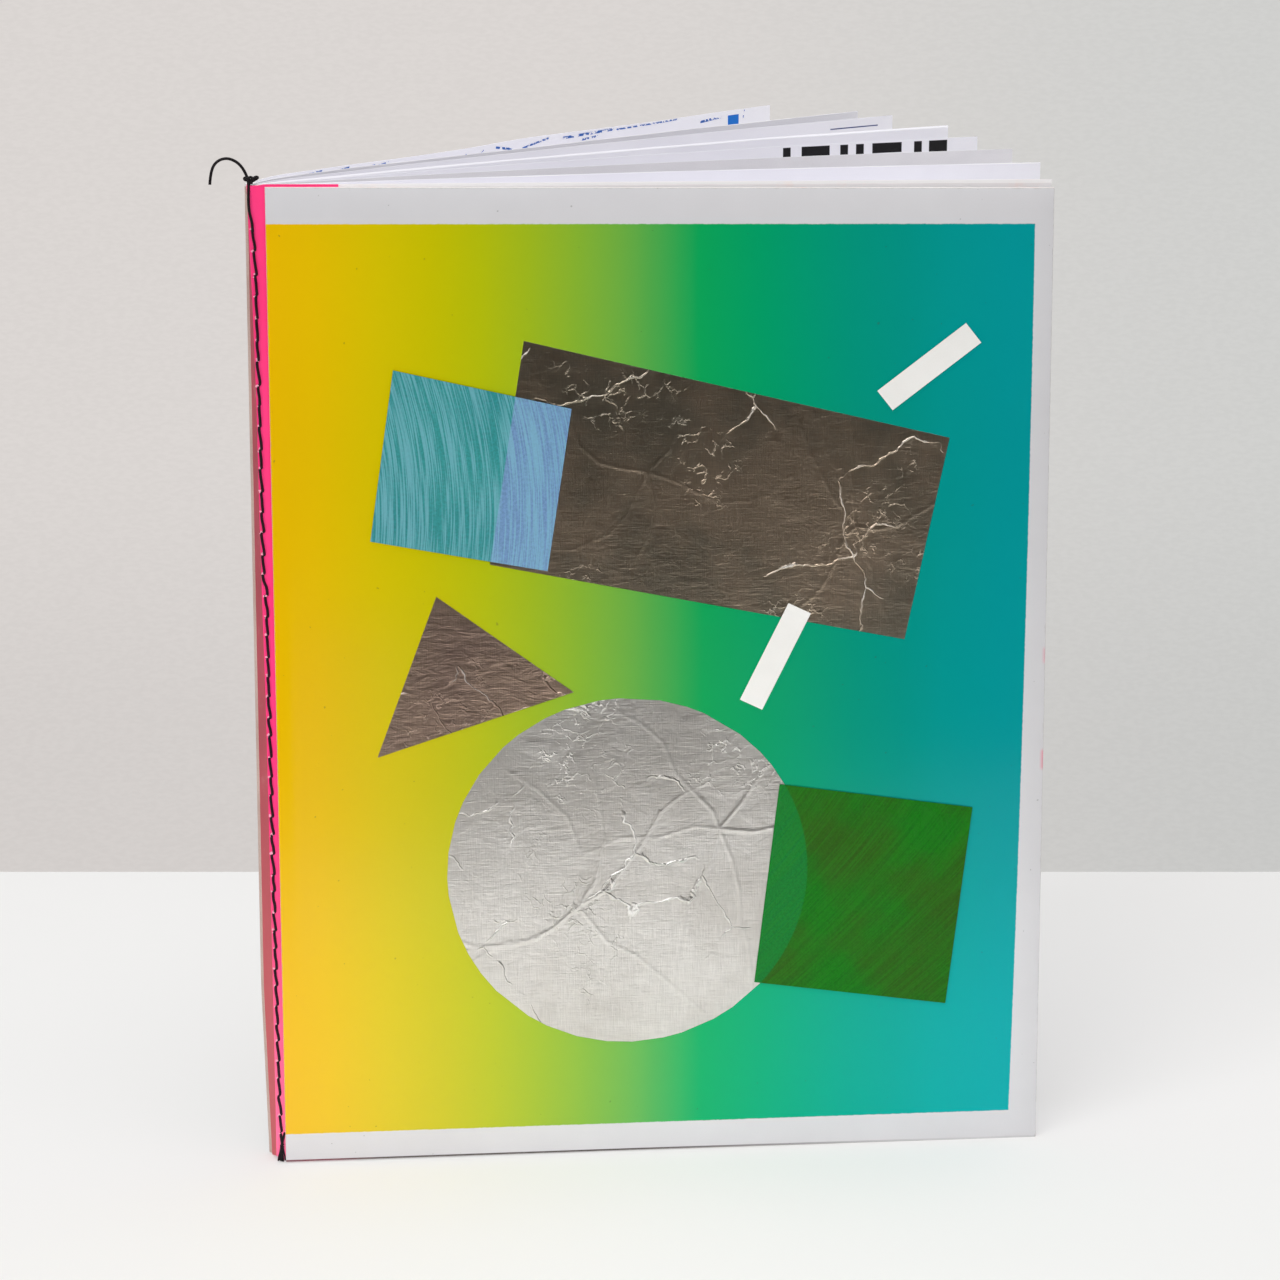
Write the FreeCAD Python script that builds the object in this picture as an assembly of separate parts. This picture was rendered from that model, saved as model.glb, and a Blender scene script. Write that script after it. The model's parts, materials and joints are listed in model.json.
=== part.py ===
import FreeCAD, Part

import math
import os

# A hand-sewn zine that stands on its foot, fanned open. Lengths are in millimetres, angles in degrees.
# The origin is at the foot of the stitch line, in the middle of the sewn fold. X runs along the front
# cover to its fore edge, Y from the front cover towards the back, and Z up the spine.

# Covers: one stiff board each, held a little above what the pages stand on.
BOARD_WIDTH = 216.0
BOARD_HEIGHT = 279.4
BOARD_THICK = 1.2
BOARD_LIFT = 0.4
FRONT_GAP = 2.3  # from the stitch line to the front board's spine edge
BACK_CLEAR = 0.6  # between the back board and the fore edge of the last leaf

# Pages: four folded sheets of heavy paper, one inside the other, sewn close to the fold.
HEAD_MARGIN = 0.7  # how far the pages stand over the head of the covers
FORE_MARGIN = 0.3  # how far the front cover reaches over the first leaf
PAGE_HEIGHT = BOARD_LIFT + BOARD_HEIGHT + HEAD_MARGIN
LEAF_WIDTH = FRONT_GAP + BOARD_WIDTH - FORE_MARGIN  # from the stitch line, on the outermost sheet
CREEP_WIDTH = 0.45  # how much further each sheet inside the last one reaches
LEAF_THICK = 0.3
LEAF_PITCH = 0.33  # from one leaf to the next in the sewn fold
LEAF_ANGLES = (0.0, 5.5, 12.3, 19.0, 23.4, 30.7, 34.9, 44.4)  # from the front cover to each fore edge
SEWN_MARGIN = 1.2  # from the stitch line to where the leaves part
FOLD_MARGIN = 0.75  # from the stitch line to the outside of the fold

# The strip of paper that is folded round the spine, with a flap glued under each board.
STRIP_THICK = 0.25
SPINE_DEPTH = 7.3  # from the front flap back to the back board's spine edge
SPINE_LEAN = 1.9  # how far that edge stands out to the side of the front ridge
FRONT_FLAP = 20.0  # under the front board
BACK_FLAP = 20.0  # under the back board

# Thread: a continuous row of stitches through the strip's front and all the leaves.
THREAD_WIDTH = 0.8
STITCH_COUNT = 45
HEAD_TO_HOLE = 13.0  # from the head of the pages to the first hole
FOOT_TO_HOLE = 10.0  # from the foot to the last hole
STITCH_RISE = 0.85  # how far a stitch stands off at its middle
STITCH_PINCH = 0.5  # and where it enters a hole
KNOT_RADIUS = 1.7
HEAD_KNOT_RISE = 1.1  # from the head of the pages to the knot's middle
TUFT_WIDTH = 2.1  # at the foot, beside the strands that come down to it
TUFT_HEIGHT = 5.0
TUFT_DEPTH = 0.85
TUFT_LIFT = 0.15

# The loose end goes from the first hole up the ridge, through the knot and out in an arc. Each point
# is measured from that hole: along X, out from the strip's face towards the reader, and up.
TAIL_DIAMETER = 0.8
TAIL_ROUTE = (
    (0.0, 0.45, 0.4),
    (-0.25, 0.55, 2.8),
    (-0.85, 0.65, 5.3),
    (-1.35, 0.55, 8.1),
    (-1.55, 0.25, 11.1),
    (-1.35, -0.35, 13.9),
    (-2.35, -0.45, 16.6),
    (-4.7, -0.2, 19.1),
    (-7.9, 0.2, 20.8),
    (-10.9, 0.7, 19.6),
    (-12.7, 1.1, 16.6),
    (-13.3, 1.3, 13.2),
)
ARC_SHARE = 0.45  # of the shorter run, taken up by each bend

# Cut pieces glued on the front board. Each outline is measured from the board's lower spine corner,
# along the board and up.
PIECE_THICK = 0.12
DISC_CENTRE = (98.0, 84.0)
DISC_RADIUS = 51.0
DARK_OUTLINE = ((60.0, 174.0), (176.0, 151.0), (188.0, 209.0), (70.0, 237.0))
SMALL_OUTLINE = ((28.0, 119.0), (83.0, 137.0), (45.0, 165.0))
GREEN_OUTLINE = ((134.0, 50.0), (189.0, 42.0), (196.0, 101.0), (141.0, 109.0))
BLUE_OUTLINE = ((27.0, 181.0), (76.0, 172.0), (83.0, 218.0), (34.0, 229.0))
TAPE_WIDTH = 7.0
TAPE_LENGTH = 31.0
TAPES = {"upper_tape": ((172.0, 217.0), 38.0), "lower_tape": ((136.0, 131.0), 64.0)}

LEAF_COUNT = len(LEAF_ANGLES)
SEWN_HALF = LEAF_COUNT * LEAF_PITCH / 2
STRIP_FACE = -SEWN_HALF - STRIP_THICK  # the strip's outer face, at the front
BOARD_FACE = STRIP_FACE - BOARD_THICK  # the front board's face
RIDGE_X = -FOLD_MARGIN - STRIP_THICK
BACK_EDGE = (RIDGE_X - SPINE_LEAN, STRIP_FACE + SPINE_DEPTH)  # the back board's inner spine edge
FIRST_HOLE = PAGE_HEIGHT - HEAD_TO_HOLE
STITCH_LENGTH = (FIRST_HOLE - FOOT_TO_HOLE) / STITCH_COUNT


def polar(length, angle):
    """The plan point at that distance and angle from the origin."""
    return length * math.cos(math.radians(angle)), length * math.sin(math.radians(angle))


def raised(outline, height, lift=0.0):
    """A plan outline drawn up into a solid that stands on its foot, or a little above it."""
    points = [FreeCAD.Vector(x, y, lift) for x, y in outline]
    face = Part.Face(Part.makePolygon(points + points[:1]))
    return face.extrude(FreeCAD.Vector(0, 0, height))


def beside(line, distance):
    """The same open line of plan points, moved to its left by a distance, with its corners kept."""
    moved = []
    for start, end in zip(line, line[1:]):
        run = math.dist(start, end)
        side = (-(end[1] - start[1]) / run * distance, (end[0] - start[0]) / run * distance)
        moved.append([(p[0] + side[0], p[1] + side[1]) for p in (start, end)])
    corners = [crossing(first, second) for first, second in zip(moved, moved[1:])]
    return [moved[0][0], *corners, moved[-1][1]]


def crossing(first, second):
    """Where the lines through two pairs of plan points cross."""
    (ax, ay), (bx, by) = first
    (cx, cy), (dx, dy) = second
    along = ((cx - ax) * (dy - cy) - (cy - ay) * (dx - cx)) / ((bx - ax) * (dy - cy) - (by - ay) * (dx - cx))
    return ax + along * (bx - ax), ay + along * (by - ay)


def fore_edge(number):
    """The plan point in the middle of a leaf's fore edge. The sheets nest, so inner leaves reach further."""
    nested = min(number, LEAF_COUNT - 1 - number)
    return polar(LEAF_WIDTH + nested * CREEP_WIDTH, LEAF_ANGLES[number])


def root(number):
    """The plan point in the middle of a leaf where it leaves the sewn fold."""
    return SEWN_MARGIN, (number + 0.5) * LEAF_PITCH - SEWN_HALF


def back_angle():
    """The back board's angle, which just clears the last leaf's fore edge."""
    edge = fore_edge(LEAF_COUNT - 1)
    away = math.dist(BACK_EDGE, edge)
    bearing = math.degrees(math.atan2(edge[1] - BACK_EDGE[1], edge[0] - BACK_EDGE[0]))
    return bearing + math.degrees(math.asin((LEAF_THICK / 2 + BACK_CLEAR) / away))


def back_point(along, out):
    """A plan point that far along the back board from its spine edge, and out from its inner face."""
    x, y = polar(along, back_angle())
    side_x, side_y = polar(out, back_angle() + 90)
    return BACK_EDGE[0] + x + side_x, BACK_EDGE[1] + y + side_y


def leaf(number):
    """One leaf, from inside the sewn fold to its fore edge."""
    start, end = root(number), fore_edge(number)
    middle = [(start[0] - LEAF_THICK, start[1]), start, end]
    half = LEAF_THICK / 2
    return raised(beside(middle, -half) + beside(middle, half)[::-1], PAGE_HEIGHT)


def sewn_fold():
    """The folds of all the sheets, pressed together and rounded on the outside."""
    overlap = LEAF_THICK
    left = SEWN_HALF - FOLD_MARGIN
    body = raised(((left, -SEWN_HALF), (SEWN_MARGIN + overlap, -SEWN_HALF), (SEWN_MARGIN + overlap, SEWN_HALF),
                   (left, SEWN_HALF)), PAGE_HEIGHT)
    nose = Part.makeCylinder(SEWN_HALF, PAGE_HEIGHT, FreeCAD.Vector(left, 0, 0))
    return body.fuse(nose)


def pages(thread):
    """All the leaves, fanned out, in one piece with the sewn fold, with a hole for each stitch."""
    leaves = [leaf(number) for number in range(LEAF_COUNT)]
    return sewn_fold().fuse(leaves).removeSplitter().cut(thread)


def spine_strip(thread):
    """The strip: the front flap, the ridge, the spine and the back flap, with a hole for each stitch."""
    outside = [(FRONT_GAP + FRONT_FLAP, STRIP_FACE), (RIDGE_X, STRIP_FACE), BACK_EDGE, back_point(BACK_FLAP, 0)]
    inside = beside(outside, -STRIP_THICK)
    return raised(outside + inside[::-1], PAGE_HEIGHT).cut(thread)


def front_board():
    """The front cover's board."""
    far = FRONT_GAP + BOARD_WIDTH
    outline = ((FRONT_GAP, STRIP_FACE), (far, STRIP_FACE), (far, BOARD_FACE), (FRONT_GAP, BOARD_FACE))
    return raised(outline, BOARD_HEIGHT, BOARD_LIFT)


def back_board():
    """The back cover's board, on the outside of its flap."""
    outline = [back_point(*place) for place in
               ((0, 0), (BOARD_WIDTH, 0), (BOARD_WIDTH, BOARD_THICK), (0, BOARD_THICK))]
    return raised(outline, BOARD_HEIGHT, BOARD_LIFT)


def front_run():
    """The row of stitches on the strip: each stands off at its middle and is pinched at its holes."""
    half = THREAD_WIDTH / 2
    side = [(0.0, FIRST_HOLE + half), (STITCH_PINCH, FIRST_HOLE + half)]
    for number in range(STITCH_COUNT):
        top = FIRST_HOLE - number * STITCH_LENGTH
        side += [(STITCH_PINCH, top), (STITCH_RISE, top - STITCH_LENGTH / 2)]
    side += [(STITCH_PINCH, FOOT_TO_HOLE), (STITCH_PINCH, FOOT_TO_HOLE - half), (0.0, FOOT_TO_HOLE - half)]
    points = [FreeCAD.Vector(-half, STRIP_FACE - rise, z) for rise, z in side]
    return Part.Face(Part.makePolygon(points + points[:1])).extrude(FreeCAD.Vector(THREAD_WIDTH, 0, 0))


def stitching():
    """The sewing thread: the stitches in front, the thread in every hole and the flat row behind."""
    half = THREAD_WIDTH / 2
    back_row = Part.makeBox(THREAD_WIDTH, STITCH_PINCH, FIRST_HOLE - FOOT_TO_HOLE + THREAD_WIDTH,
                            FreeCAD.Vector(-half, SEWN_HALF, FOOT_TO_HOLE - half))
    holes = []
    for number in range(STITCH_COUNT + 1):
        place = FreeCAD.Vector(-half, STRIP_FACE, FIRST_HOLE - number * STITCH_LENGTH - half)
        holes.append(Part.makeBox(THREAD_WIDTH, SEWN_HALF - STRIP_FACE, THREAD_WIDTH, place))
    return front_run().fuse([back_row, *holes]).removeSplitter()


def tail_points():
    """The loose end's route in the part's own frame."""
    return [FreeCAD.Vector(x, STRIP_FACE - out, FIRST_HOLE + up) for x, out, up in TAIL_ROUTE]


def loose_end():
    """The thread's loose end: straight runs joined by tangent arcs, as large as the runs allow."""
    points = tail_points()
    edges, start, radii = [], points[0], []
    for before, corner, after in zip(points, points[1:], points[2:]):
        back, ahead = (before - corner), (after - corner)
        reach = ARC_SHARE * min(back.Length, ahead.Length)
        back.normalize()
        ahead.normalize()
        half_turn = (math.pi - back.getAngle(ahead)) / 2
        radius = reach / math.tan(half_turn)
        radii.append(radius)
        middle = back + ahead
        middle.normalize()
        depth = radius / math.cos(half_turn) - radius
        enter, leave = corner + back * reach, corner + ahead * reach
        edges.append(Part.LineSegment(start, enter).toShape())
        edges.append(Part.Arc(enter, corner + middle * depth, leave).toShape())
        start = leave
    edges.append(Part.LineSegment(start, points[-1]).toShape())
    path = Part.Wire(edges)
    section = Part.Wire(Part.makeCircle(TAIL_DIAMETER / 2, points[0], points[1] - points[0]))
    tube = path.makePipeShell([section], True, False)
    ideal = math.pi * TAIL_DIAMETER ** 2 / 4 * path.Length
    print("loose end: length", round(path.Length, 2), "volume over ideal", round(tube.Volume / ideal, 4))
    print("loose end: radii", [round(radius, 1) for radius in radii])
    return tube


def head_knot(tail):
    """The knot that sits on the head of the spine, with the loose end running through it."""
    centre = FreeCAD.Vector(tail_points()[5].x / 2, STRIP_FACE / 2, PAGE_HEIGHT + HEAD_KNOT_RISE)
    ball = Part.makeSphere(KNOT_RADIUS, centre)
    below = Part.makeBox(4 * KNOT_RADIUS, 4 * KNOT_RADIUS, 2 * KNOT_RADIUS,
                         FreeCAD.Vector(centre.x - 2 * KNOT_RADIUS, centre.y - 2 * KNOT_RADIUS,
                                        PAGE_HEIGHT - 2 * KNOT_RADIUS))
    return ball.cut([below, tail])


def foot_knot():
    """The knot and tuft at the foot of the strip's face, with the strands that come down to it."""
    half = THREAD_WIDTH / 2
    top = FOOT_TO_HOLE - half
    shape = ((-half, TUFT_LIFT), (-half, top), (half, top), (half, TUFT_HEIGHT),
             (TUFT_WIDTH - half, TUFT_HEIGHT / 2), (TUFT_WIDTH - half, TUFT_LIFT))
    points = [FreeCAD.Vector(x, STRIP_FACE, z) for x, z in shape]
    outline = Part.Face(Part.makePolygon(points + points[:1]))
    return outline.extrude(FreeCAD.Vector(0, -TUFT_DEPTH, 0))


def on_board(along, up, level):
    """A point on the front board's face, or that many glued pieces above it."""
    return FreeCAD.Vector(FRONT_GAP + along, BOARD_FACE - level * PIECE_THICK, BOARD_LIFT + up)


def cut_piece(outline, level):
    """A glued piece with straight edges."""
    points = [on_board(along, up, level) for along, up in outline]
    return Part.Face(Part.makePolygon(points + points[:1])).extrude(FreeCAD.Vector(0, -PIECE_THICK, 0))


def disc(level):
    """A glued disc."""
    rim = Part.makeCircle(DISC_RADIUS, on_board(*DISC_CENTRE, level), FreeCAD.Vector(0, -1, 0))
    return Part.Face(Part.Wire(rim)).extrude(FreeCAD.Vector(0, -PIECE_THICK, 0))


def tape(corner, angle, level):
    """A short strip of paper tape, turned about its lower corner."""
    outline = []
    for along, up in ((0, 0), (TAPE_LENGTH, 0), (TAPE_LENGTH, TAPE_WIDTH), (0, TAPE_WIDTH)):
        x, y = polar(along, angle)
        side_x, side_y = polar(up, angle + 90)
        outline.append((corner[0] + x + side_x, corner[1] + y + side_y))
    return cut_piece(outline, level)


def build():
    """Every piece by name."""
    thread = stitching()
    tail = loose_end()
    nodes = {
        "pages": pages(thread),
        "spine_strip": spine_strip(thread),
        "stitching": thread,
        "loose_end": tail,
        "head_knot": head_knot(tail),
        "foot_knot": foot_knot(),
        "front_cover": front_board(),
        "back_cover": back_board(),
        "dark_foil": cut_piece(DARK_OUTLINE, 0),
        "bright_foil": disc(0),
        "small_foil": cut_piece(SMALL_OUTLINE, 1),
        "green_film": cut_piece(GREEN_OUTLINE, 2),
        "blue_film": cut_piece(BLUE_OUTLINE, 2),
    }
    for name, (corner, angle) in TAPES.items():
        nodes[name] = tape(corner, angle, 1)
    return nodes


os.makedirs("parts", exist_ok=True)
for name, shape in build().items():
    shape.exportStep(os.path.join("parts", name + ".step"))
    print(name, "solids", len(shape.Solids), "valid", shape.isValid(), "volume", round(shape.Volume, 2))
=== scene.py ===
"""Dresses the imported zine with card, paper, foil, film and thread, in a plain studio."""

import json
import logging
import math
import random
from collections.abc import Callable, Sequence
from dataclasses import dataclass, field
from enum import Enum
from functools import cached_property, partial, reduce
from itertools import accumulate

import bmesh
import bpy
from mathutils import Matrix, Vector, noise


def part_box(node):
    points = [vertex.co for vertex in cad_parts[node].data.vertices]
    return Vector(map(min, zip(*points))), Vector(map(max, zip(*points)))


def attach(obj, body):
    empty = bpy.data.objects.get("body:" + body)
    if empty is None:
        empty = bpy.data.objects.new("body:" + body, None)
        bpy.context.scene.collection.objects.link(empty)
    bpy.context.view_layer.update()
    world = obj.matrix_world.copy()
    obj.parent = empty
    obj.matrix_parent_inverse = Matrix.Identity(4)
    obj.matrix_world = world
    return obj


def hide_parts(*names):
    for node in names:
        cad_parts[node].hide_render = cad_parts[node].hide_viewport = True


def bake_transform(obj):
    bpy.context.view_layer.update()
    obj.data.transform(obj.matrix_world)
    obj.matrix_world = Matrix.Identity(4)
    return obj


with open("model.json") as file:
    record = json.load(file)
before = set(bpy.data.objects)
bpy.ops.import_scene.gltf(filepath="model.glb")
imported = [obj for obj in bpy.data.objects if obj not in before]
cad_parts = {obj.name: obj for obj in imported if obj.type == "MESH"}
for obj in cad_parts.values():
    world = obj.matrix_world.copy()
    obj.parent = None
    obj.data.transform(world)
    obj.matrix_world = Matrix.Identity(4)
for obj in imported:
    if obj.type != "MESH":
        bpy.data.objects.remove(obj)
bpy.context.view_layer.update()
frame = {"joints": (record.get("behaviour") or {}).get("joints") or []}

LOG = logging.getLogger("zine")
MM = 0.001
BLACK = (0.0, 0.0, 0.0, 1.0)
Point = tuple[float, float]
Triple = tuple[float, float, float]
Stops = tuple[Point, ...]
Socket = bpy.types.NodeSocket
Shape = bmesh.types.BMesh
Piece = bpy.types.Object


class Body(Enum):
    """The bodies of the frame."""

    BOOK = "book"
    FRONT = "front_board"
    BACK = "back_board"


class Side(Enum):
    """The sides of a sheet, in the order of its material slots."""

    FACE = 0
    BACK = 1
    RIM = 2


def srgb(red: float, green: float, blue: float) -> tuple[float, float, float, float]:
    """The linear colour of a screen colour.

    Args:
        red: the red part, from 0 to 255.
        green: the green part.
        blue: the blue part.

    Returns:
        Linear red, green and blue, and an alpha of 1.
    """
    parts = [value / 255 for value in (red, green, blue)]
    linear = [part / 12.92 if part <= 0.04045 else ((part + 0.055) / 1.055) ** 2.4 for part in parts]
    return (*linear, 1.0)


def eased(stops: Stops, at: float) -> float:
    """The value at a place on a line through stops.

    Args:
        stops: pairs of place and value, with the places rising.
        at: the place.

    Returns:
        The value there, held flat past both ends.
    """
    if at <= stops[0][0]:
        return stops[0][1]
    for (low, first), (high, last) in zip(stops, stops[1:]):
        if at <= high:
            share = (at - low) / (high - low)
            return first + (last - first) * share
    return stops[-1][1]


def smooth(stops: Stops, at: float) -> float:
    """The value at a place on a rounded line through stops, which has no corners."""
    reach = 0.035
    places = (at + reach * (step - 3) / 3 for step in range(7))
    lowest, highest = stops[0][0], stops[-1][0]
    values = [eased(stops, min(highest, max(lowest, place))) for place in places]
    edge = min(1.0, (at - lowest) / reach, (highest - at) / reach)
    return eased(stops, at) * (1.0 - edge) + sum(values) / len(values) * edge


# ------------------------------------------------------------------------------------------ shaders


class Wiring:
    """Adds nodes to one node tree and joins them."""

    def __init__(self, tree: bpy.types.NodeTree) -> None:
        """Takes the tree that the nodes go in."""
        self.tree = tree

    def add(self, kind: str, values: dict | None = None, **settings: object) -> bpy.types.Node:
        """Adds a node.

        Args:
            kind: the node's type, without the words ShaderNode.
            values: input name or number to a constant or to another node's output.
            settings: the node's own settings.

        Returns:
            The new node.
        """
        node = self.tree.nodes.new("ShaderNode" + kind)
        for name, value in settings.items():
            setattr(node, name, value)
        self.feed(node, values or {})
        return node

    def feed(self, node: bpy.types.Node, values: dict) -> None:
        """Gives a node's inputs, by name or number, their constants or other nodes' outputs."""
        for key, value in values.items():
            if isinstance(value, Socket):
                self.tree.links.new(value, node.inputs[key])
            else:
                node.inputs[key].default_value = value

    def use(self, tree: bpy.types.NodeTree, **values: object) -> Sequence[Socket]:
        """The outputs of a shared effect placed here with its own values."""
        return self.add("Group", values, node_tree=tree).outputs

    def math(self, operation: str, *values: object) -> Socket:
        """The result of a Math node on constants or sockets."""
        return self.add("Math", dict(enumerate(values)), operation=operation).outputs[0]

    def plus(self, first: object, second: object) -> Socket:
        """The sum of two values."""
        return self.math("ADD", first, second)

    def minus(self, first: object, second: object) -> Socket:
        """The difference of two values."""
        return self.math("SUBTRACT", first, second)

    def times(self, first: object, second: object) -> Socket:
        """The product of two values."""
        return self.math("MULTIPLY", first, second)

    def mix(self, share: object, first: object, second: object, blend: str = "MIX") -> Socket:
        """The mix of two colours.

        Args:
            share: how much of the second, as a number or a socket.
            first: a colour or a socket.
            second: a colour or a socket.
            blend: the blend type.

        Returns:
            The mixed colour.
        """
        node = self.add("Mix", {0: share, 6: first, 7: second}, data_type="RGBA", blend_type=blend)
        return node.outputs[2]

    def laid(self, colour: object, mask: Socket, strength: object, ink: object) -> Socket:
        """A colour with an ink laid over it through a mask, at a strength."""
        return self.mix(self.times(mask, strength), colour, ink)

    def ramp(self, share: object, stops: Sequence[tuple[float, tuple]]) -> Socket:
        """The colour of a straight ramp.

        Args:
            share: the place on the ramp.
            stops: pairs of place and colour.

        Returns:
            The colour there.
        """
        node = self.add("ValToRGB", {0: share})
        band = node.color_ramp
        while len(band.elements) < len(stops):
            band.elements.new(0.5)
        for element, (place, colour) in zip(band.elements, stops):
            element.position = place
            element.color = colour
        return node.outputs[0]

    def noise(self, where: object, scale: float, detail: float = 2.0, rough: float = 0.5,
              twist: float = 0.0) -> Socket:
        """The value of a Noise Texture at a place."""
        values = {"Vector": where, "Scale": scale, "Detail": detail, "Roughness": rough,
                  "Distortion": twist}
        return self.add("TexNoise", values).outputs[0]

    def span(self, value: object, low: float, high: float, start: float = 0.0,
             end: float = 1.0) -> Socket:
        """A value moved from one range into another, smoothly and clamped."""
        values = {0: value, 1: low, 2: high, 3: start, 4: end}
        return self.add("MapRange", values, interpolation_type="SMOOTHSTEP", clamp=True).outputs[0]

    def stretched(self, where: object, scale: Triple, turn: float = 0.0) -> Socket:
        """A place stretched along its axes, after a turn in the plane of the front cover."""
        node = self.add("Mapping", {"Vector": where, "Scale": scale, "Rotation": (0.0, turn, 0.0)})
        return node.outputs[0]

    def apart(self, where: object) -> Sequence[Socket]:
        """The three parts of a place."""
        return self.add("SeparateXYZ", {0: where}).outputs

    def window(self, across: object, up: object, low: Point, high: Point, soft: float) -> Socket:
        """A mask of a box, which is 1 inside.

        Args:
            across: the place along the sheet.
            up: the place up the sheet.
            low: the box's lower corner.
            high: its upper corner.
            soft: the width of its soft edge.

        Returns:
            The mask.
        """
        masks = []
        for value, least, most in ((across, low[0], high[0]), (up, low[1], high[1])):
            masks.append(self.span(value, least - soft, least + soft))
            masks.append(self.span(value, most - soft, most + soft, 1.0, 0.0))
        return reduce(self.times, masks)

    def stroke(self, where: object, start: Point, end: Point, width: float) -> Socket:
        """A mask of a straight mark between two places, which is 1 inside."""
        turn = math.atan2(end[1] - start[1], end[0] - start[0])
        back = Matrix.Rotation(-turn, 2) @ Vector(start)
        node = self.add("Mapping", {"Vector": where, "Location": (-back.x, -back.y, 0.0),
                                    "Rotation": (0.0, 0.0, -turn)})
        along, beside, _ = self.apart(node.outputs[0])
        length, soft = math.dist(start, end), 0.15 * MM
        return self.window(along, beside, (0.0, -width / 2), (length, width / 2), soft)


def group(name: str, inputs: Sequence[tuple[str, str, float | None]],
          outputs: Sequence[tuple[str, str]],
          build: Callable[[Wiring, bpy.types.Node], Sequence[Socket]]) -> bpy.types.NodeTree:
    """A shared effect as a node group, built once.

    Args:
        name: the group's name.
        inputs: each input's name, type and default value.
        outputs: each output's name and type.
        build: makes the nodes, and returns the sockets for the outputs in order.

    Returns:
        The group.
    """
    tree = bpy.data.node_groups.get(name)
    if tree:
        return tree
    tree = bpy.data.node_groups.new(name, "ShaderNodeTree")
    for label, kind, value in inputs:
        socket = tree.interface.new_socket(label, in_out="INPUT", socket_type="NodeSocket" + kind)
        if value is not None:
            socket.default_value = value
    for label, kind in outputs:
        tree.interface.new_socket(label, in_out="OUTPUT", socket_type="NodeSocket" + kind)
    wiring = Wiring(tree)
    start, end = tree.nodes.new("NodeGroupInput"), tree.nodes.new("NodeGroupOutput")
    for socket, target in zip(build(wiring, start), end.inputs):
        tree.links.new(socket, target)
    return tree


def paper_grain() -> bpy.types.NodeTree:
    """The effect of paper fibres: a tone that varies over the sheet and a fine height."""

    def build(wiring: Wiring, start: bpy.types.Node) -> Sequence[Socket]:
        """Clouds a few centimetres wide over fine fibres."""
        where = start.outputs["Vector"]
        clouds = wiring.noise(where, 38.0, 3.0, 0.6)
        fibres = wiring.noise(where, 2600.0, 3.0, 0.65)
        strands = wiring.noise(wiring.stretched(where, (1.0, 1.0, 0.28)), 1500.0, 2.0, 0.5, 0.6)
        height = wiring.plus(fibres, wiring.times(strands, 0.8))
        tone = wiring.plus(wiring.times(clouds, 0.7), wiring.times(fibres, 0.3))
        return wiring.span(tone, 0.3, 0.7), height

    outputs = [("Tone", "Float"), ("Height", "Float")]
    return group("paper grain", [("Vector", "Vector", None)], outputs, build)


def edge_wear() -> bpy.types.NodeTree:
    """The effect of handling: a mask of rubs and nicks close to the edges of a sheet."""

    def build(wiring: Wiring, start: bpy.types.Node) -> Sequence[Socket]:
        """Nearness to the closest edge, broken up by noise."""
        across, up = start.outputs["Across"], start.outputs["Up"]
        width, height = start.outputs["Width"], start.outputs["Height"]
        gaps = (across, wiring.minus(width, across), up, wiring.minus(height, up))
        nearest = reduce(partial(wiring.math, "MINIMUM"), gaps)
        near = wiring.minus(1.0, wiring.math("DIVIDE", nearest, start.outputs["Reach"]))
        where = wiring.add("CombineXYZ", {0: across, 1: up}).outputs[0]
        broken = wiring.noise(where, 420.0, 4.0, 0.7)
        return (wiring.span(wiring.plus(near, wiring.times(broken, 1.4)), 1.35, 1.75),)

    inputs = [("Across", "Float", 0.0), ("Up", "Float", 0.0), ("Width", "Float", 0.2),
              ("Height", "Float", 0.28), ("Reach", "Float", 0.001)]
    return group("edge wear", inputs, [("Mask", "Float")], build)


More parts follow.
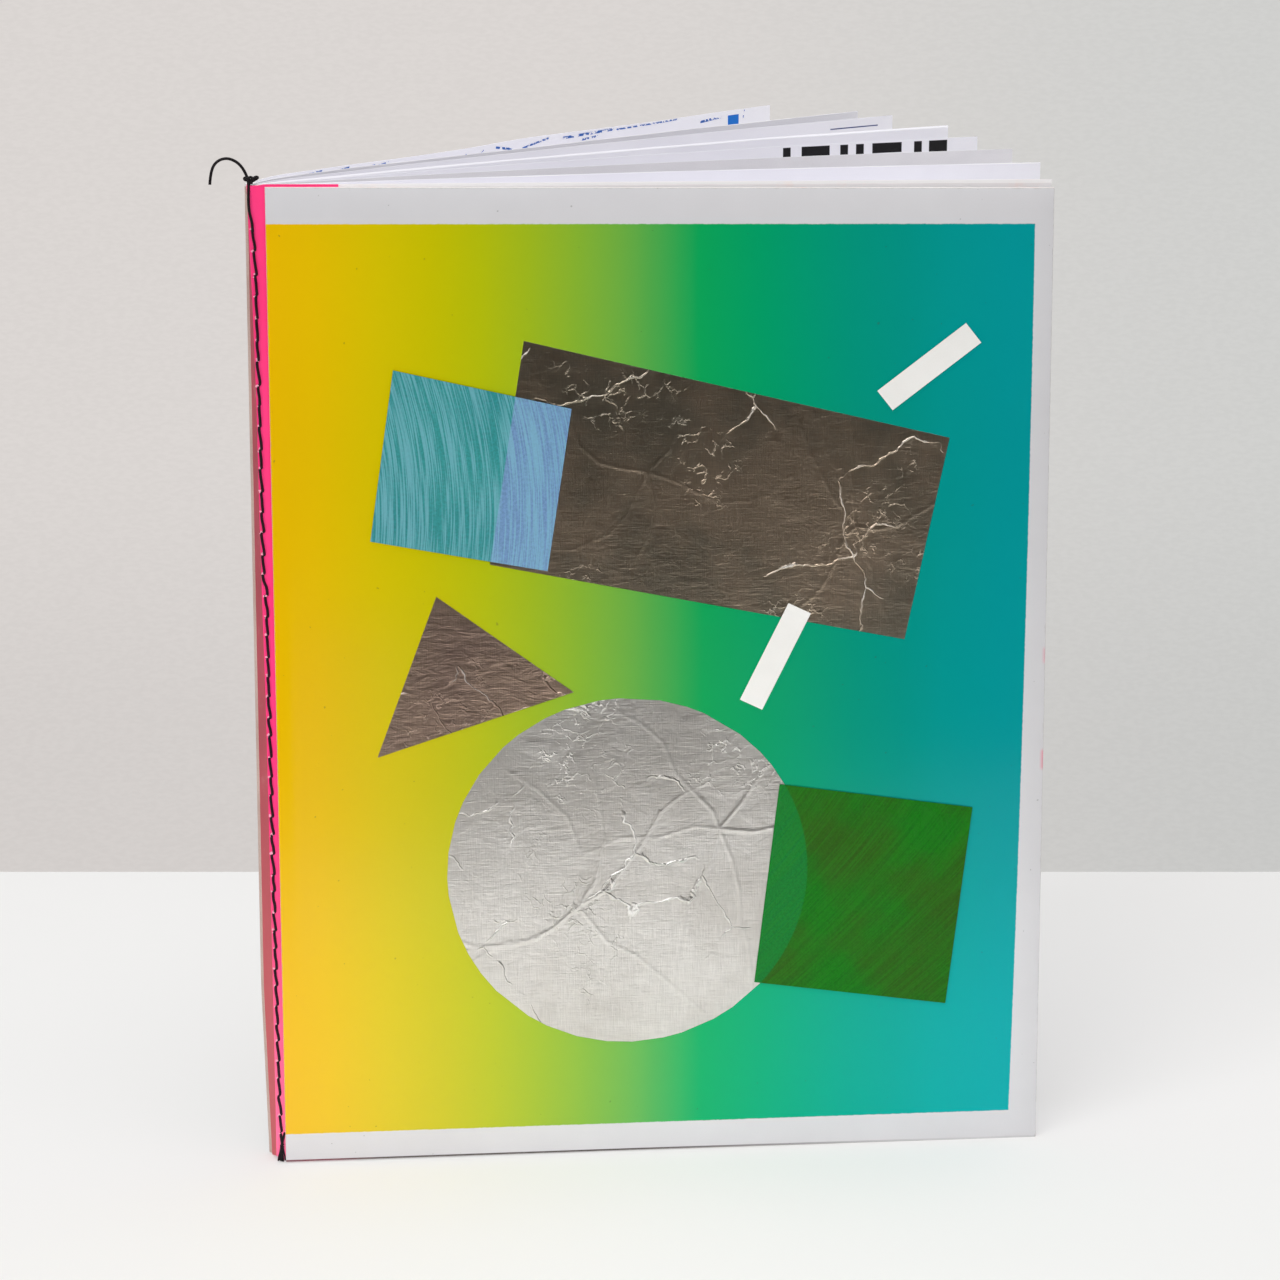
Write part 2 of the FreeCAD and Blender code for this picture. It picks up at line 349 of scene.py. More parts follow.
def crumple() -> bpy.types.NodeTree:
    """The effect of smoothed-out foil: a linen-like rub, wrinkles in clusters and thin sharp creases."""

    def build(wiring: Wiring, start: bpy.types.Node) -> Sequence[Socket]:
        """Ridges where bent cells meet, at two scales, over stretched noise."""
        where, seed = start.outputs["Vector"], start.outputs["Seed"]
        shift = wiring.add("CombineXYZ", {0: seed, 1: seed, 2: seed}).outputs[0]
        moved = wiring.add("VectorMath", {0: where, 1: shift}, operation="ADD").outputs[0]

        def ridges(scale: float, warp_scale: float, warp: float, width: float) -> Socket:
            """Thin lines between cells that a noise has bent."""
            push = wiring.add("TexNoise", {"Vector": moved, "Scale": warp_scale, "Detail": 4.0})
            bent = wiring.add("VectorMath", {0: push.outputs[1], 1: (warp, warp, warp), 2: moved},
                              operation="MULTIPLY_ADD")
            cells = wiring.add("TexVoronoi", {"Vector": bent.outputs[0], "Scale": scale},
                               feature="DISTANCE_TO_EDGE")
            return wiring.span(cells.outputs[0], 0.0, width * scale, 1.0, 0.0)

        patchy = wiring.span(wiring.noise(moved, 42.0, 3.0, 0.6), 0.5, 0.6)
        creases = wiring.times(ridges(27.0, 60.0, 0.015, 0.00032), patchy)
        clusters = wiring.span(wiring.noise(moved, 30.0, 3.0), 0.54, 0.68)
        broken = wiring.times(clusters, wiring.span(wiring.noise(moved, 240.0, 2.0), 0.46, 0.56))
        wrinkles = wiring.times(ridges(230.0, 150.0, 0.012, 0.0003), broken)
        across = wiring.noise(wiring.stretched(where, (1.0, 1.0, 0.06)), 2900.0, 1.0)
        along = wiring.noise(wiring.stretched(where, (0.06, 1.0, 1.0)), 2700.0, 1.0)
        rub = wiring.plus(across, along)
        folds = wiring.noise(wiring.stretched(moved, (0.7, 1.0, 1.0), 0.7), 120.0, 5.0, 0.6, 1.0)
        fine = wiring.noise(wiring.stretched(moved, (0.4, 1.0, 1.0), 0.15), 380.0, 4.0, 0.62, 0.8)
        patches = wiring.span(wiring.noise(moved, 24.0, 2.0), 0.4, 0.6, 0.25, 1.0)
        fine = wiring.times(wiring.times(fine, patches), start.outputs["Crinkle"])
        parts = (creases, wiring.times(wrinkles, 0.45), wiring.times(folds, 0.5), fine)
        height = reduce(wiring.plus, parts)
        # The glint marks the ridges for a painted highlight.
        glint = wiring.math("MAXIMUM", creases, wiring.times(wrinkles, 0.2))
        return height, rub, glint

    inputs = [("Vector", "Vector", None), ("Seed", "Float", 0.0), ("Crinkle", "Float", 0.5)]
    return group("crumple", inputs, [("Height", "Float"), ("Rub", "Float"), ("Glint", "Float")], build)


def colour_blend() -> bpy.types.NodeTree:
    """The effect of the cover's print: a blend of inks from the spine to the fore edge, with a painted
    sheen towards the foot.
    """
    ramp_width = 210.0
    inks = ((0.0, srgb(236, 187, 0)), (12.0, srgb(232, 191, 0)), (30.0, srgb(215, 194, 0)),
            (44.0, srgb(200, 192, 0)), (58.0, srgb(182, 191, 9)), (71.0, srgb(161, 187, 29)),
            (85.0, srgb(135, 182, 50)), (97.0, srgb(110, 177, 67)), (105.0, srgb(83, 172, 76)),
            (113.0, srgb(48, 169, 83)), (118.5, srgb(10, 166, 89)), (136.0, srgb(0, 160, 104)),
            (161.0, srgb(0, 151, 126)), (175.0, srgb(0, 149, 136)), (187.0, srgb(0, 151, 147)),
            (205.0, srgb(0, 151, 155)))

    def build(wiring: Wiring, start: bpy.types.Node) -> Sequence[Socket]:
        """The ramp over the print's width, with a faint drift and a painted sheen towards the foot."""
        across, up = start.outputs["Across"], start.outputs["Up"]
        where = wiring.add("CombineXYZ", {0: across, 1: up}).outputs[0]
        drift = wiring.times(wiring.minus(wiring.noise(where, 9.0, 1.0), 0.5), 0.004)
        place = wiring.math("DIVIDE", wiring.plus(across, drift), ramp_width * MM)
        colour = wiring.ramp(place, [(at / ramp_width, ink) for at, ink in inks])
        # Painted reflection: a lighter blue-green sheen is added towards the foot, more of it towards the
        # fore edge, as light the print would catch there.
        painted_foot_sheen = wiring.mix(wiring.span(across, 0.08, 0.18), srgb(14, 22, 46), srgb(0, 84, 83))
        return (wiring.mix(wiring.span(up, 0.0, 0.135, 1.0, 0.0), colour, painted_foot_sheen, "ADD"),)

    inputs = [("Across", "Float", 0.0), ("Up", "Float", 0.0)]
    return group("colour blend", inputs, [("Color", "Color")], build)


@dataclass(frozen=True)
class Finish:
    """What a surface is made of: the plain numbers, and a paint method that each kind fills in."""

    name: str
    roughness: float = 0.6
    specular: float = 0.5
    metallic: float = 0.0
    bump: float = 0.2
    bump_depth: float = 0.00008
    glow: float = 0.0

    def paint(self, wiring: Wiring) -> dict[str, Socket]:
        """The sockets that change over the surface.

        Args:
            wiring: the material's wiring.

        Returns:
            Sockets for colour and height, and for any of roughness, metallic and glow.
        """
        raise NotImplementedError

    def material(self) -> bpy.types.Material:
        """The finish as a material, made once."""
        made = bpy.data.materials.get(self.name)
        if made:
            return made
        made = bpy.data.materials.new(self.name)
        made.use_nodes = True
        wiring = Wiring(made.node_tree)
        shader = made.node_tree.nodes["Principled BSDF"]
        sockets = self.paint(wiring)
        relief = wiring.add("Bump", {"Strength": self.bump, "Distance": self.bump_depth,
                                     "Height": sockets["height"]})
        wiring.feed(shader, {"Roughness": self.roughness, "Specular IOR Level": self.specular,
                             "Metallic": self.metallic, "Normal": relief.outputs[0]})
        if self.glow:
            wiring.feed(shader, {"Emission Strength": 1.0 if "glow" in sockets else self.glow,
                                 "Emission Color": sockets.get("glow", sockets["colour"])})
        names = {"colour": "Base Color", "roughness": "Roughness", "metallic": "Metallic"}
        wiring.feed(shader, {names[key]: value for key, value in sockets.items() if key in names})
        return made


def spread(wiring: Wiring) -> tuple[Socket, Socket, Socket]:
    """The place on a sheet: across it, up it, and both as one place, in metres."""
    where = wiring.add("UVMap", uv_map="sheet").outputs[0]
    across, up, _ = wiring.apart(where)
    return across, up, where


@dataclass(frozen=True)
class PrintedCard(Finish):
    """The front cover's face: a blend of inks inside a plain margin, rubbed at the edges.

    The print's right edge is a limit, a slope and a bend. A spot has a height, half a length and a
    strength. The painted shadow line along the foot fades out between two heights.
    """

    card: tuple = srgb(217, 216, 219)
    size: Point = (0.216, 0.2794)
    print_low: float = 0.0083
    print_high: float = 0.2694
    print_right: Triple = (0.2077, 0.0232, -0.0428)
    pink: tuple = srgb(236, 70, 120)
    spots: tuple[Triple, ...] = ((0.1148, 0.0028, 0.8), (0.1456, 0.0022, 0.45))
    spot_width: float = 0.4 * MM
    spot_soft: float = 0.8 * MM
    ragged: float = 0.3 * MM
    print_soft: float = 0.12 * MM
    soil_and_painted_light: Point = (0.45 * MM, 0.65 * MM)
    worn: float = 0.8 * MM

    def paint(self, wiring: Wiring) -> dict[str, Socket]:
        """The print, its margin, a painted shade over its middle heights, specks, a painted shadow along
        the foot and two spots on the edge.
        """
        across, up, where = spread(wiring)
        tone, height = wiring.use(paper_grain(), Vector=where)[:]
        ragged = wiring.times(wiring.minus(wiring.noise(where, 900.0), 0.5), self.ragged)
        limit, slope, bend = self.print_right
        bow = wiring.plus(wiring.times(up, bend), slope)
        right = wiring.minus(across, wiring.times(up, bow))
        inside = wiring.window(wiring.plus(right, ragged), wiring.plus(up, ragged),
                               (-0.01, self.print_low), (limit, self.print_high), self.print_soft)
        margin = wiring.laid(self.card, tone, 0.5, srgb(208, 207, 210))
        colour = wiring.mix(inside, margin, wiring.use(colour_blend(), Across=across, Up=up)[0])
        # Painted shade: the middle heights of the cover are darkened a little, to even out how the lamps
        # light it.
        painted_mid_shade = wiring.times(wiring.span(up, 0.03, 0.12), wiring.span(up, 0.19, 0.265, 1.0, 0.0))
        colour = wiring.laid(colour, painted_mid_shade, 0.08, BLACK)
        specks = wiring.span(wiring.noise(where, 640.0, 1.0), 0.775, 0.8)
        colour = wiring.laid(colour, specks, 0.35, srgb(60, 62, 50))
        for high, half, strength in self.spots:
            spot = wiring.window(across, up, (self.size[0] - self.spot_width, high - half),
                                 (self.size[0] + MM, high + half), self.spot_soft)
            colour = wiring.laid(colour, spot, strength, self.pink)
        # Painted shadow: a dark line along the foot, pinker near the spine and fading out towards the
        # fore edge, for the shadow under the board.
        soil_and_painted_light = wiring.mix(wiring.span(across, 0.008, 0.03), srgb(120, 50, 64), srgb(74, 65, 60))
        foot = wiring.times(wiring.span(up, *self.soil_and_painted_light, 1.0, 0.0),
                            wiring.span(across, 0.09, 0.2, 0.92, 0.12))
        colour = wiring.mix(foot, colour, soil_and_painted_light)
        wear = wiring.use(edge_wear(), Across=across, Up=up, Width=self.size[0], Height=self.size[1],
                          Reach=self.worn)[0]
        colour = wiring.laid(colour, wear, 0.35, srgb(170, 165, 160))
        rough = wiring.plus(wiring.times(tone, 0.03), self.roughness)
        return {"colour": colour, "height": height, "roughness": rough}


@dataclass(frozen=True)
class Paper(Finish):
    """Plain paper or card in one colour, with clouds and fibres.

    The end tone is full at the first place of the fade and gone at the second. Above its rim the
    paper has a painted highlight, a glow with the rim's own light.
    """

    colour: tuple = srgb(248, 247, 253)
    shade: tuple = srgb(242, 241, 248)
    blotch: tuple = srgb(226, 200, 190)
    blotches: float = 0.0
    clean_below: float = 0.0
    end_tone: tuple = srgb(255, 255, 255)
    fade: Point = (0.0, 0.0)
    rim: float = 0.0
    rim_light: float = 0.3

    def paint(self, wiring: Wiring) -> dict[str, Socket]:
        """The two tones, with blotches, an end tone or a painted highlight along the head edge, where the
        finish has them.
        """
        across, up, where = spread(wiring)
        tone, height = wiring.use(paper_grain(), Vector=where)[:]
        colour = wiring.mix(tone, self.colour, self.shade)
        if self.blotches:
            stain = wiring.span(wiring.noise(where, 70.0, 4.0, 0.7), 0.55, 0.75)
            if self.clean_below:
                soil_and_painted_light = wiring.span(up, self.clean_below, self.clean_below + 6 * MM)
                stain = wiring.times(stain, soil_and_painted_light)
            colour = wiring.laid(colour, stain, self.blotches, self.blotch)
        # Blends to the end tone over a stretch of the height: lighter towards the foot on the neon paper,
        # lighter at the head on the raw card edge.
        full, none = self.fade
        if full != none:
            ends = (full, none, 1.0, 0.0) if full < none else (none, full)
            colour = wiring.mix(wiring.span(up, *ends), colour, self.end_tone)
        sockets = {"colour": self.marked(wiring, colour, across, up, where), "height": height}
        # Painted highlight: a thin line along the head edge glows at the rim's light, and below it the
        # sheet glows faintly by its own glow, both as painted light.
        if self.rim:
            dim = wiring.mix(1.0, sockets["colour"], (self.glow, self.glow, self.glow, 1.0), "MULTIPLY")
            along = wiring.stretched(where, (1.0, 0.0, 0.0))
            wavy = wiring.times(wiring.noise(along, 30.0), 0.6 * MM)
            line = wiring.span(wiring.minus(up, wavy), self.rim, self.rim + 0.3 * MM)
            lit = (self.rim_light, self.rim_light, self.rim_light, 1.0)
            sockets["glow"] = wiring.mix(line, dim, lit)
        return sockets

    def marked(self, wiring: Wiring, colour: Socket, across: Socket, up: Socket,
               where: Socket) -> Socket:
        """The colour with what is printed on it, which is nothing on plain paper."""
        return colour


@dataclass(frozen=True)
class MarkedPaper(Paper):
    """Page paper with printed blocks and dry strokes; each has two places on the sheet and an ink."""

    blocks: tuple[tuple[Point, Point, tuple], ...] = ()
    strokes: tuple[tuple[Point, Point, float], ...] = ()
    ink: tuple = srgb(40, 96, 176)
    block_soft: float = 0.08 * MM

    def marked(self, wiring: Wiring, colour: Socket, across: Socket, up: Socket,
               where: Socket) -> Socket:
        """Clean-edged blocks, and strokes broken up by a dry brush."""
        for low, high, ink in self.blocks:
            block = wiring.window(across, up, low, high, self.block_soft)
            colour = wiring.mix(block, colour, ink)
        if self.strokes:
            dry = wiring.span(wiring.noise(where, 700.0, 2.0, 0.6), 0.42, 0.52)
            parts = [wiring.stroke(where, *stroke) for stroke in self.strokes]
            colour = wiring.laid(colour, reduce(partial(wiring.math, "MAXIMUM"), parts), dry, self.ink)
        return colour


@dataclass(frozen=True)
class Foil(Finish):
    """Kitchen foil rubbed flat on the card, with creases that stayed."""

    colour: tuple = srgb(225, 223, 220)
    shade: tuple = srgb(205, 202, 198)
    seed: float = 0.0
    spark: float = 0.5
    linen: float = 0.2
    crinkle: float = 0.5

    def paint(self, wiring: Wiring) -> dict[str, Socket]:
        """Two tones of metal, rubbed like linen, with a white glint painted on the ridges."""
        across, up, where = spread(wiring)
        place = wiring.add("CombineXYZ", {0: across, 2: up}).outputs[0]
        height, rub, glint = wiring.use(crumple(), Vector=place, Seed=self.seed, Crinkle=self.crinkle)[:]
        clouds = wiring.span(wiring.noise(place, 24.0, 4.0, 0.6), 0.38, 0.62)
        colour = wiring.mix(clouds, self.colour, self.shade)
        colour = wiring.laid(colour, wiring.span(rub, 0.7, 1.3), self.linen, BLACK)
        # Painted highlight: white glints on parts of the crease ridges, where the foil stops being metal.
        lit = wiring.times(glint, wiring.span(wiring.noise(place, 75.0, 2.0), 0.42, 0.6))
        lit = wiring.times(lit, self.spark)
        colour = wiring.mix(lit, colour, srgb(250, 249, 246))
        relief = wiring.plus(height, wiring.times(rub, 0.13))
        rough = wiring.span(rub, 0.7, 1.3, self.roughness - 0.05, self.roughness + 0.07)
        return {"colour": colour, "height": relief, "roughness": rough,
                "metallic": wiring.minus(1.0, lit)}


@dataclass(frozen=True)
class Film(Finish):
    """Coloured film glued on: it shows the inks and the foil under it through its own colour."""

    tint: tuple = srgb(40, 150, 60)
    body: tuple = srgb(46, 112, 8)
    deep: tuple = srgb(52, 88, 6)
    over: tuple = srgb(6, 124, 56)
    strength: float = 0.75
    streaks: float = 0.0
    streak: tuple = srgb(128, 190, 206)
    cover_disc: Triple = (0.0, 0.0, 0.0)
    cover_edge: tuple[Point, Point] = ((0.0, 0.0), (1.0, 0.0))

    def paint(self, wiring: Wiring) -> dict[str, Socket]:
        """The inks through the tint, the film's clouds, the foil under it and the glue's streaks."""
        across, up, where = spread(wiring)
        below = wiring.use(colour_blend(), Across=across, Up=up)[0]
        through = wiring.mix(1.0, below, self.tint, "MULTIPLY")
        clouds = wiring.span(wiring.noise(where, 30.0, 3.0, 0.55), 0.35, 0.65)
        colour = wiring.mix(self.strength, through, wiring.mix(clouds, self.body, self.deep))
        colour = wiring.mix(self.over_foil(wiring, across, up), colour, self.over)
        mottle = wiring.span(wiring.noise(where, 1300.0, 3.0, 0.7), 0.35, 0.65)
        colour = wiring.laid(colour, mottle, 0.24, BLACK)
        offset = wiring.minus(up, 0.19)
        bend = wiring.times(wiring.times(offset, offset), 4.0)
        bent = {0: wiring.plus(across, bend), 1: wiring.times(up, 0.022)}
        curve = wiring.add("CombineXYZ", bent).outputs[0]
        strokes = wiring.noise(curve, 2300.0, 1.0, 0.5)
        broad = wiring.noise(curve, 330.0, 1.0)
        pale = wiring.span(wiring.plus(strokes, wiring.times(broad, 0.3)), 0.55, 0.78)
        colour = wiring.laid(colour, pale, self.streaks, self.streak)
        wrinkles = wiring.noise(wiring.stretched(where, (1.0, 0.45, 1.0)), 260.0, 4.0, 0.65, 1.2)
        height = wiring.plus(wiring.times(strokes, 0.5), wrinkles)
        return {"colour": colour, "height": height}

    def over_foil(self, wiring: Wiring, across: Socket, up: Socket) -> Socket:
        """A mask of where foil lies under the film: inside a disc, or on one side of an edge."""
        soft = 0.2 * MM
        centre_x, centre_z, radius = self.cover_disc
        if radius:
            side_x, side_z = wiring.minus(across, centre_x), wiring.minus(up, centre_z)
            square = wiring.plus(wiring.times(side_x, side_x), wiring.times(side_z, side_z))
            return wiring.span(wiring.math("SQRT", square), radius - soft, radius + soft, 1.0, 0.0)
        (low_x, low_z), (high_x, high_z) = self.cover_edge
        lean = (high_x - low_x) / (high_z - low_z)
        edge = wiring.minus(wiring.minus(across, low_x), wiring.times(wiring.minus(up, low_z), lean))
        return wiring.span(edge, -soft, soft)


@dataclass(frozen=True)
class Thread(Finish):
    """Waxed black thread, with its twist."""

    colour: tuple = srgb(20, 14, 18)
    sheen: tuple = srgb(44, 38, 42)

    def paint(self, wiring: Wiring) -> dict[str, Socket]:
        """Fine slanted plies with paler fibres."""
        where = wiring.add("TexCoord").outputs["Object"]
        plies = wiring.noise(wiring.stretched(where, (1.0, 1.0, 0.45), 0.5), 2400.0, 2.0, 0.6)
        fluff = wiring.span(wiring.noise(where, 5200.0, 2.0), 0.5, 0.75)
        return {"colour": wiring.mix(fluff, self.colour, self.sheen), "height": plies}


# ------------------------------------------------------------------------------------------- meshes


def flat_sheet(width: float, height: float, step: float) -> Shape:
    """A flat grid that stands on its foot and faces forwards.

    Args:
        width: its size along X.
        height: its size up Z.
        step: about how far apart its lines are.

    Returns:
        The grid, with its lower left corner at the origin.
    """
    made = bmesh.new()
    columns, rows = max(2, round(width / step)), max(2, round(height / step))
    bmesh.ops.create_grid(made, x_segments=columns, y_segments=rows, size=0.5)
    bmesh.ops.translate(made, verts=made.verts, vec=(0.5, 0.5, 0.0))
    bmesh.ops.scale(made, verts=made.verts, vec=(width, height, 1.0))
    bmesh.ops.rotate(made, verts=made.verts, cent=(0.0, 0.0, 0.0),
                     matrix=Matrix.Rotation(math.pi / 2, 3, "X"))
    return made


def cut_out(made: Shape, outline: Sequence[Point]) -> None:
    """Cuts a flat sheet along a convex outline that runs anticlockwise.

    Args:
        made: the sheet.
        outline: its corners, along the sheet and up.
    """
    for (x, z), (next_x, next_z) in zip(outline, [*outline[1:], outline[0]]):
        parts = made.verts[:] + made.edges[:] + made.faces[:]
        bmesh.ops.bisect_plane(made, geom=parts, dist=1e-7, plane_co=(x, 0.0, z),
                               plane_no=(next_z - z, 0.0, x - next_x), clear_outer=True)


def put_in_order(made: Shape) -> None:
    """Builds a bare shape anew with its faces in the order of their corners, the same in each run."""
    made.verts.index_update()
    faces = [[vert.index for vert in face.verts] for face in made.faces]
    faces = [face[2:] + face[:2] if len(face) == 4 and face[2] < face[0] else face for face in faces]
    mesh = bpy.data.meshes.new("in order")
    mesh.from_pydata([vert.co[:] for vert in made.verts], [], sorted(faces, key=sorted))
    made.clear()
    made.from_mesh(mesh)
    bpy.data.meshes.remove(mesh)


def thicken(made: Shape, thick: float, round_over: float = 0.0) -> None:
    """Gives a flat sheet its thickness, its sides and its spread map.

    Args:
        made: the sheet, facing forwards at Y 0.
        thick: how far it grows backwards.
        round_over: the size of the rounding along its rim, if it has one.
    """
    new = bmesh.ops.extrude_face_region(made, geom=made.faces[:], use_keep_orig=True)["geom"]
    bmesh.ops.translate(made, verts=[part for part in new if isinstance(part, bmesh.types.BMVert)],
                        vec=(0.0, thick, 0.0))
    bmesh.ops.recalc_face_normals(made, faces=made.faces[:])
    put_in_order(made)
    if round_over:
        sharp = 0.8
        corners = [edge for edge in made.edges if abs(edge.calc_face_angle(0.0)) > sharp]
        bmesh.ops.bevel(made, geom=corners, offset=round_over, segments=2, profile=0.5, affect="EDGES",
                        material=-1)
        put_in_order(made)
    spread_map = made.loops.layers.uv.new("sheet")
    for face in made.faces:
        across = face.calc_center_median().y
        flat = abs(face.normal.y) > 0.9
        side = Side.RIM if not flat else Side.FACE if across < thick / 2 else Side.BACK
        face.material_index = side.value
        face.smooth = True
        for loop in face.loops:
            loop[spread_map].uv = (loop.vert.co.x, loop.vert.co.z)
    for edge in made.edges:
        sides = {face.material_index for face in edge.link_faces}
        edge.smooth = round_over > 0.0 or len(sides) == 1


def distances(line: Sequence[Vector]) -> list[float]:
    """How far along a plan line each of its points is."""
    return [0.0, *accumulate((after - before).xy.length for before, after in zip(line, line[1:]))]


def follow(line: Sequence[Vector], along: Sequence[float], thick: float, high: float, rows: int,
           place: Callable[[int, Vector, float, float], Vector]) -> Shape:
    """An upright sheet that follows a line in plan.

    Args:
        line: the line, with the sheet's outside on its right.
        along: how far along the sheet each point of the line is, for the spread map.
        thick: the sheet's thickness.
        high: its height.
        rows: how many rows of faces it has.
        place: gives a point's place, from its step on the line, the direction outwards there, its
            depth in the sheet and its height.

    Returns:
        The shape, in place.
    """
    made = flat_sheet(float(len(line) - 1), 1.0, 1.0)
    steep = 0.25
    upright = [edge for edge in made.edges if abs(edge.verts[0].co.z - edge.verts[1].co.z) > steep]
    bmesh.ops.subdivide_edges(made, edges=upright, cuts=rows // 2 - 1, use_grid_fill=True)
    thicken(made, thick)
    spread_map = made.loops.layers.uv["sheet"]
    for face in made.faces:
        for loop in face.loops:
            loop[spread_map].uv = (along[round(loop.vert.co.x)], loop.vert.co.z * high)
    for vert in made.verts:
        step = round(vert.co.x)
        before, after = line[max(0, step - 1)], line[min(len(line) - 1, step + 1)]
        ahead = (after - before).normalized()
        vert.co = place(step, Vector((ahead.y, -ahead.x, 0.0)), vert.co.y, vert.co.z * high)
    bmesh.ops.recalc_face_normals(made, faces=made.faces[:])
    return made


def baked(name: str, made: Shape) -> bpy.types.Mesh:
    """A shape as a mesh. The shape is used up."""
    mesh = bpy.data.meshes.new(name)
    made.to_mesh(mesh)
    made.free()
    return mesh


def shown(name: str, data: bpy.types.ID) -> Piece:
    """A new object in the scene, at the origin, from its mesh, curve, lamp or camera."""
    piece = bpy.data.objects.new(name, data)
    bpy.context.scene.collection.objects.link(piece)
    return piece


def finished(name: str, made: Shape, finishes: Sequence[Finish], body: Body | None,
             slot: str, replaces: Sequence[str] = ()) -> Piece:
    """Turns a shape into a piece of the zine.

    Args:
        name: the piece's name.
        made: its shape, in place.
        finishes: its finishes, in the order of its material slots.
        body: the body that it rides on, or None to leave it on no body.
        slot: the record's material slot; not used.
        replaces: the frame's nodes that it stands for.

    Returns:
        The new object, at the origin.
    """
    mesh = baked(name, made)
    piece = shown(name, mesh)
    for finish in finishes:
        mesh.materials.append(finish.material())
    if body:
        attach(piece, body.value)
    if replaces:
        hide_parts(*replaces)
    LOG.info("%s: %d faces", name, len(mesh.polygons))
    return piece


def tube(name: str, points: Sequence[Vector], radius: float, order: int = 3) -> Piece:
    """A smooth thread through the air.

    Args:
        name: its name.
        points: its control points.
        radius: its radius.
        order: the spline's order.

    Returns:
        A curve object with one open spline.
    """
    curve = bpy.data.curves.new(name, "CURVE")
    curve.dimensions = "3D"
    curve.bevel_depth = radius
    curve.bevel_resolution = 3
    curve.resolution_u = 6
    curve.use_fill_caps = True
    spline = curve.splines.new("NURBS")
    spline.points.add(len(points) - 1)
    for control, point in zip(spline.points, points):
        control.co = (*point, 1.0)
    spline.order_u = order
    spline.use_endpoint_u = True
    return shown(name, curve)


def meshed(curve: Piece) -> Shape:
    """A thread's surface as a shape, with the curve taken away."""
    bpy.context.view_layer.update()
    mesh = bpy.data.meshes.new_from_object(curve.evaluated_get(bpy.context.evaluated_depsgraph_get()))
    made = bmesh.new()
    made.from_mesh(mesh)
    bmesh.ops.remove_doubles(made, verts=made.verts[:], dist=1e-6)
    bmesh.ops.recalc_face_normals(made, faces=made.faces[:])
    for face in made.faces:
        face.smooth = True
        face.material_index = 0
    data = curve.data
    bpy.data.objects.remove(curve)
    bpy.data.curves.remove(data)
    bpy.data.meshes.remove(mesh)
    return made


# ---------------------------------------------------------------------------------- the zine itself


@dataclass(frozen=True)
class Sizes:
    """The frame's sizes that the pieces share, read from its nodes."""

    board_low: Vector = field(default_factory=lambda: Vector(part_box("front_cover")[0]))
    board_high: Vector = field(default_factory=lambda: Vector(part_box("front_cover")[1]))
    page_high: float = field(default_factory=lambda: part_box("pages")[1][2])
    back_box: tuple = field(default_factory=lambda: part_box("back_cover"))

    @property
    def strip_face(self) -> float:
        """Y of the strip's outer face, which the front board lies on."""
        return self.board_high.y

    @property
    def board_width(self) -> float:
        """The front board's width."""
        return self.board_high.x - self.board_low.x

    @property
    def board_height(self) -> float:
        """The front board's height."""
        return self.board_high.z - self.board_low.z

    @property
    def board_thick(self) -> float:
        """The boards' thickness."""
        return self.board_high.y - self.board_low.y

    @cached_property
    def back_hinge(self) -> Vector:
        """The foot of the back board's spine edge, on its hinge."""
        back = Body.BACK.value
        return Vector(next(joint["pos_m"] for joint in frame["joints"] if joint["child"] == back))

    @cached_property
    def back_ahead(self) -> Vector:
        """The direction of the back board in plan, away from the spine, worked out from its box."""
        reach = Vector(self.back_box[1]) - self.back_hinge
        angle = math.atan2(reach.y, reach.x)
        for _ in range(8):
            angle = math.atan2(reach.y - self.board_thick * math.cos(angle), reach.x)
        return Vector((math.cos(angle), math.sin(angle), 0.0))

    @cached_property
    def back_out(self) -> Vector:
        """The direction square to the back board, away from the pages."""
        return Vector((-self.back_ahead.y, self.back_ahead.x, 0.0))


@dataclass(frozen=True)
class Lie:
    """How the real thing strays from straight: the front cover's twist, the fold's drift and a press.

    The crease gives the ridge's X by its height, both in millimetres. The press is at the foot of
    the back cover's spine edge.
    """

    sizes: Sizes
    foot_spine: Vector = Vector((0.1, -0.6, 0.0)) * MM
    foot_fore: Vector = Vector((0.35, 3.6, -0.1)) * MM
    head_spine: Vector = Vector((-0.55, 0.0, 0.3)) * MM
    head_fore: Vector = Vector((-1.5, -4.5, -1.85)) * MM
    crease: Stops = ((0.0, -0.3), (15.5, -0.25), (69.0, -0.4), (136.0, -0.75), (165.0, -1.2),
                     (187.7, -1.45), (221.0, -1.65), (247.7, -2.15), (268.0, -2.8), (280.5, -3.15))
    cad_ridge: float = -1.0
    drift_end: float = 16 * MM
    press: float = 2.1 * MM
    press_top: float = 51 * MM
    press_end: float = 25 * MM

    def twist(self, point: Vector) -> Vector:
        """The move of a point on the front cover.

        Args:
            point: the point as it is on the flat cover.

        Returns:
            How far it is moved.
        """
        low, high = self.sizes.board_low, self.sizes.board_high
        share = max(0.0, (point.x - low.x) / self.sizes.board_width)
        up = (point.z - low.z) / self.sizes.board_height
        foot = self.foot_spine.lerp(self.foot_fore, share)
        head = self.head_spine.lerp(self.head_fore, share)
        return foot.lerp(head, up) * min(1.0, max(0.0, point.x / low.x))

    def drift(self, point: Vector) -> Vector:
        """The move of a point near the fold, which fades out towards the leaves."""
        away = (eased(self.crease, point.z / MM) - self.cad_ridge) * MM
        share = min(1.0, max(0.0, point.x / self.drift_end))
        return Vector((away * (1.0 - share * share * (3.0 - 2.0 * share)), 0.0, 0.0))

    def pressed(self, up: float, along: float) -> float:
        """How far the back cover is pressed in at the foot of the spine.

        Args:
            up: the height.
            along: how far along the back cover, from the spine.

        Returns:
            The distance, square to the back cover.
        """
        near = max(0.0, 1.0 - along / self.press_end)
        return self.press * max(0.0, 1.0 - up / self.press_top) * near


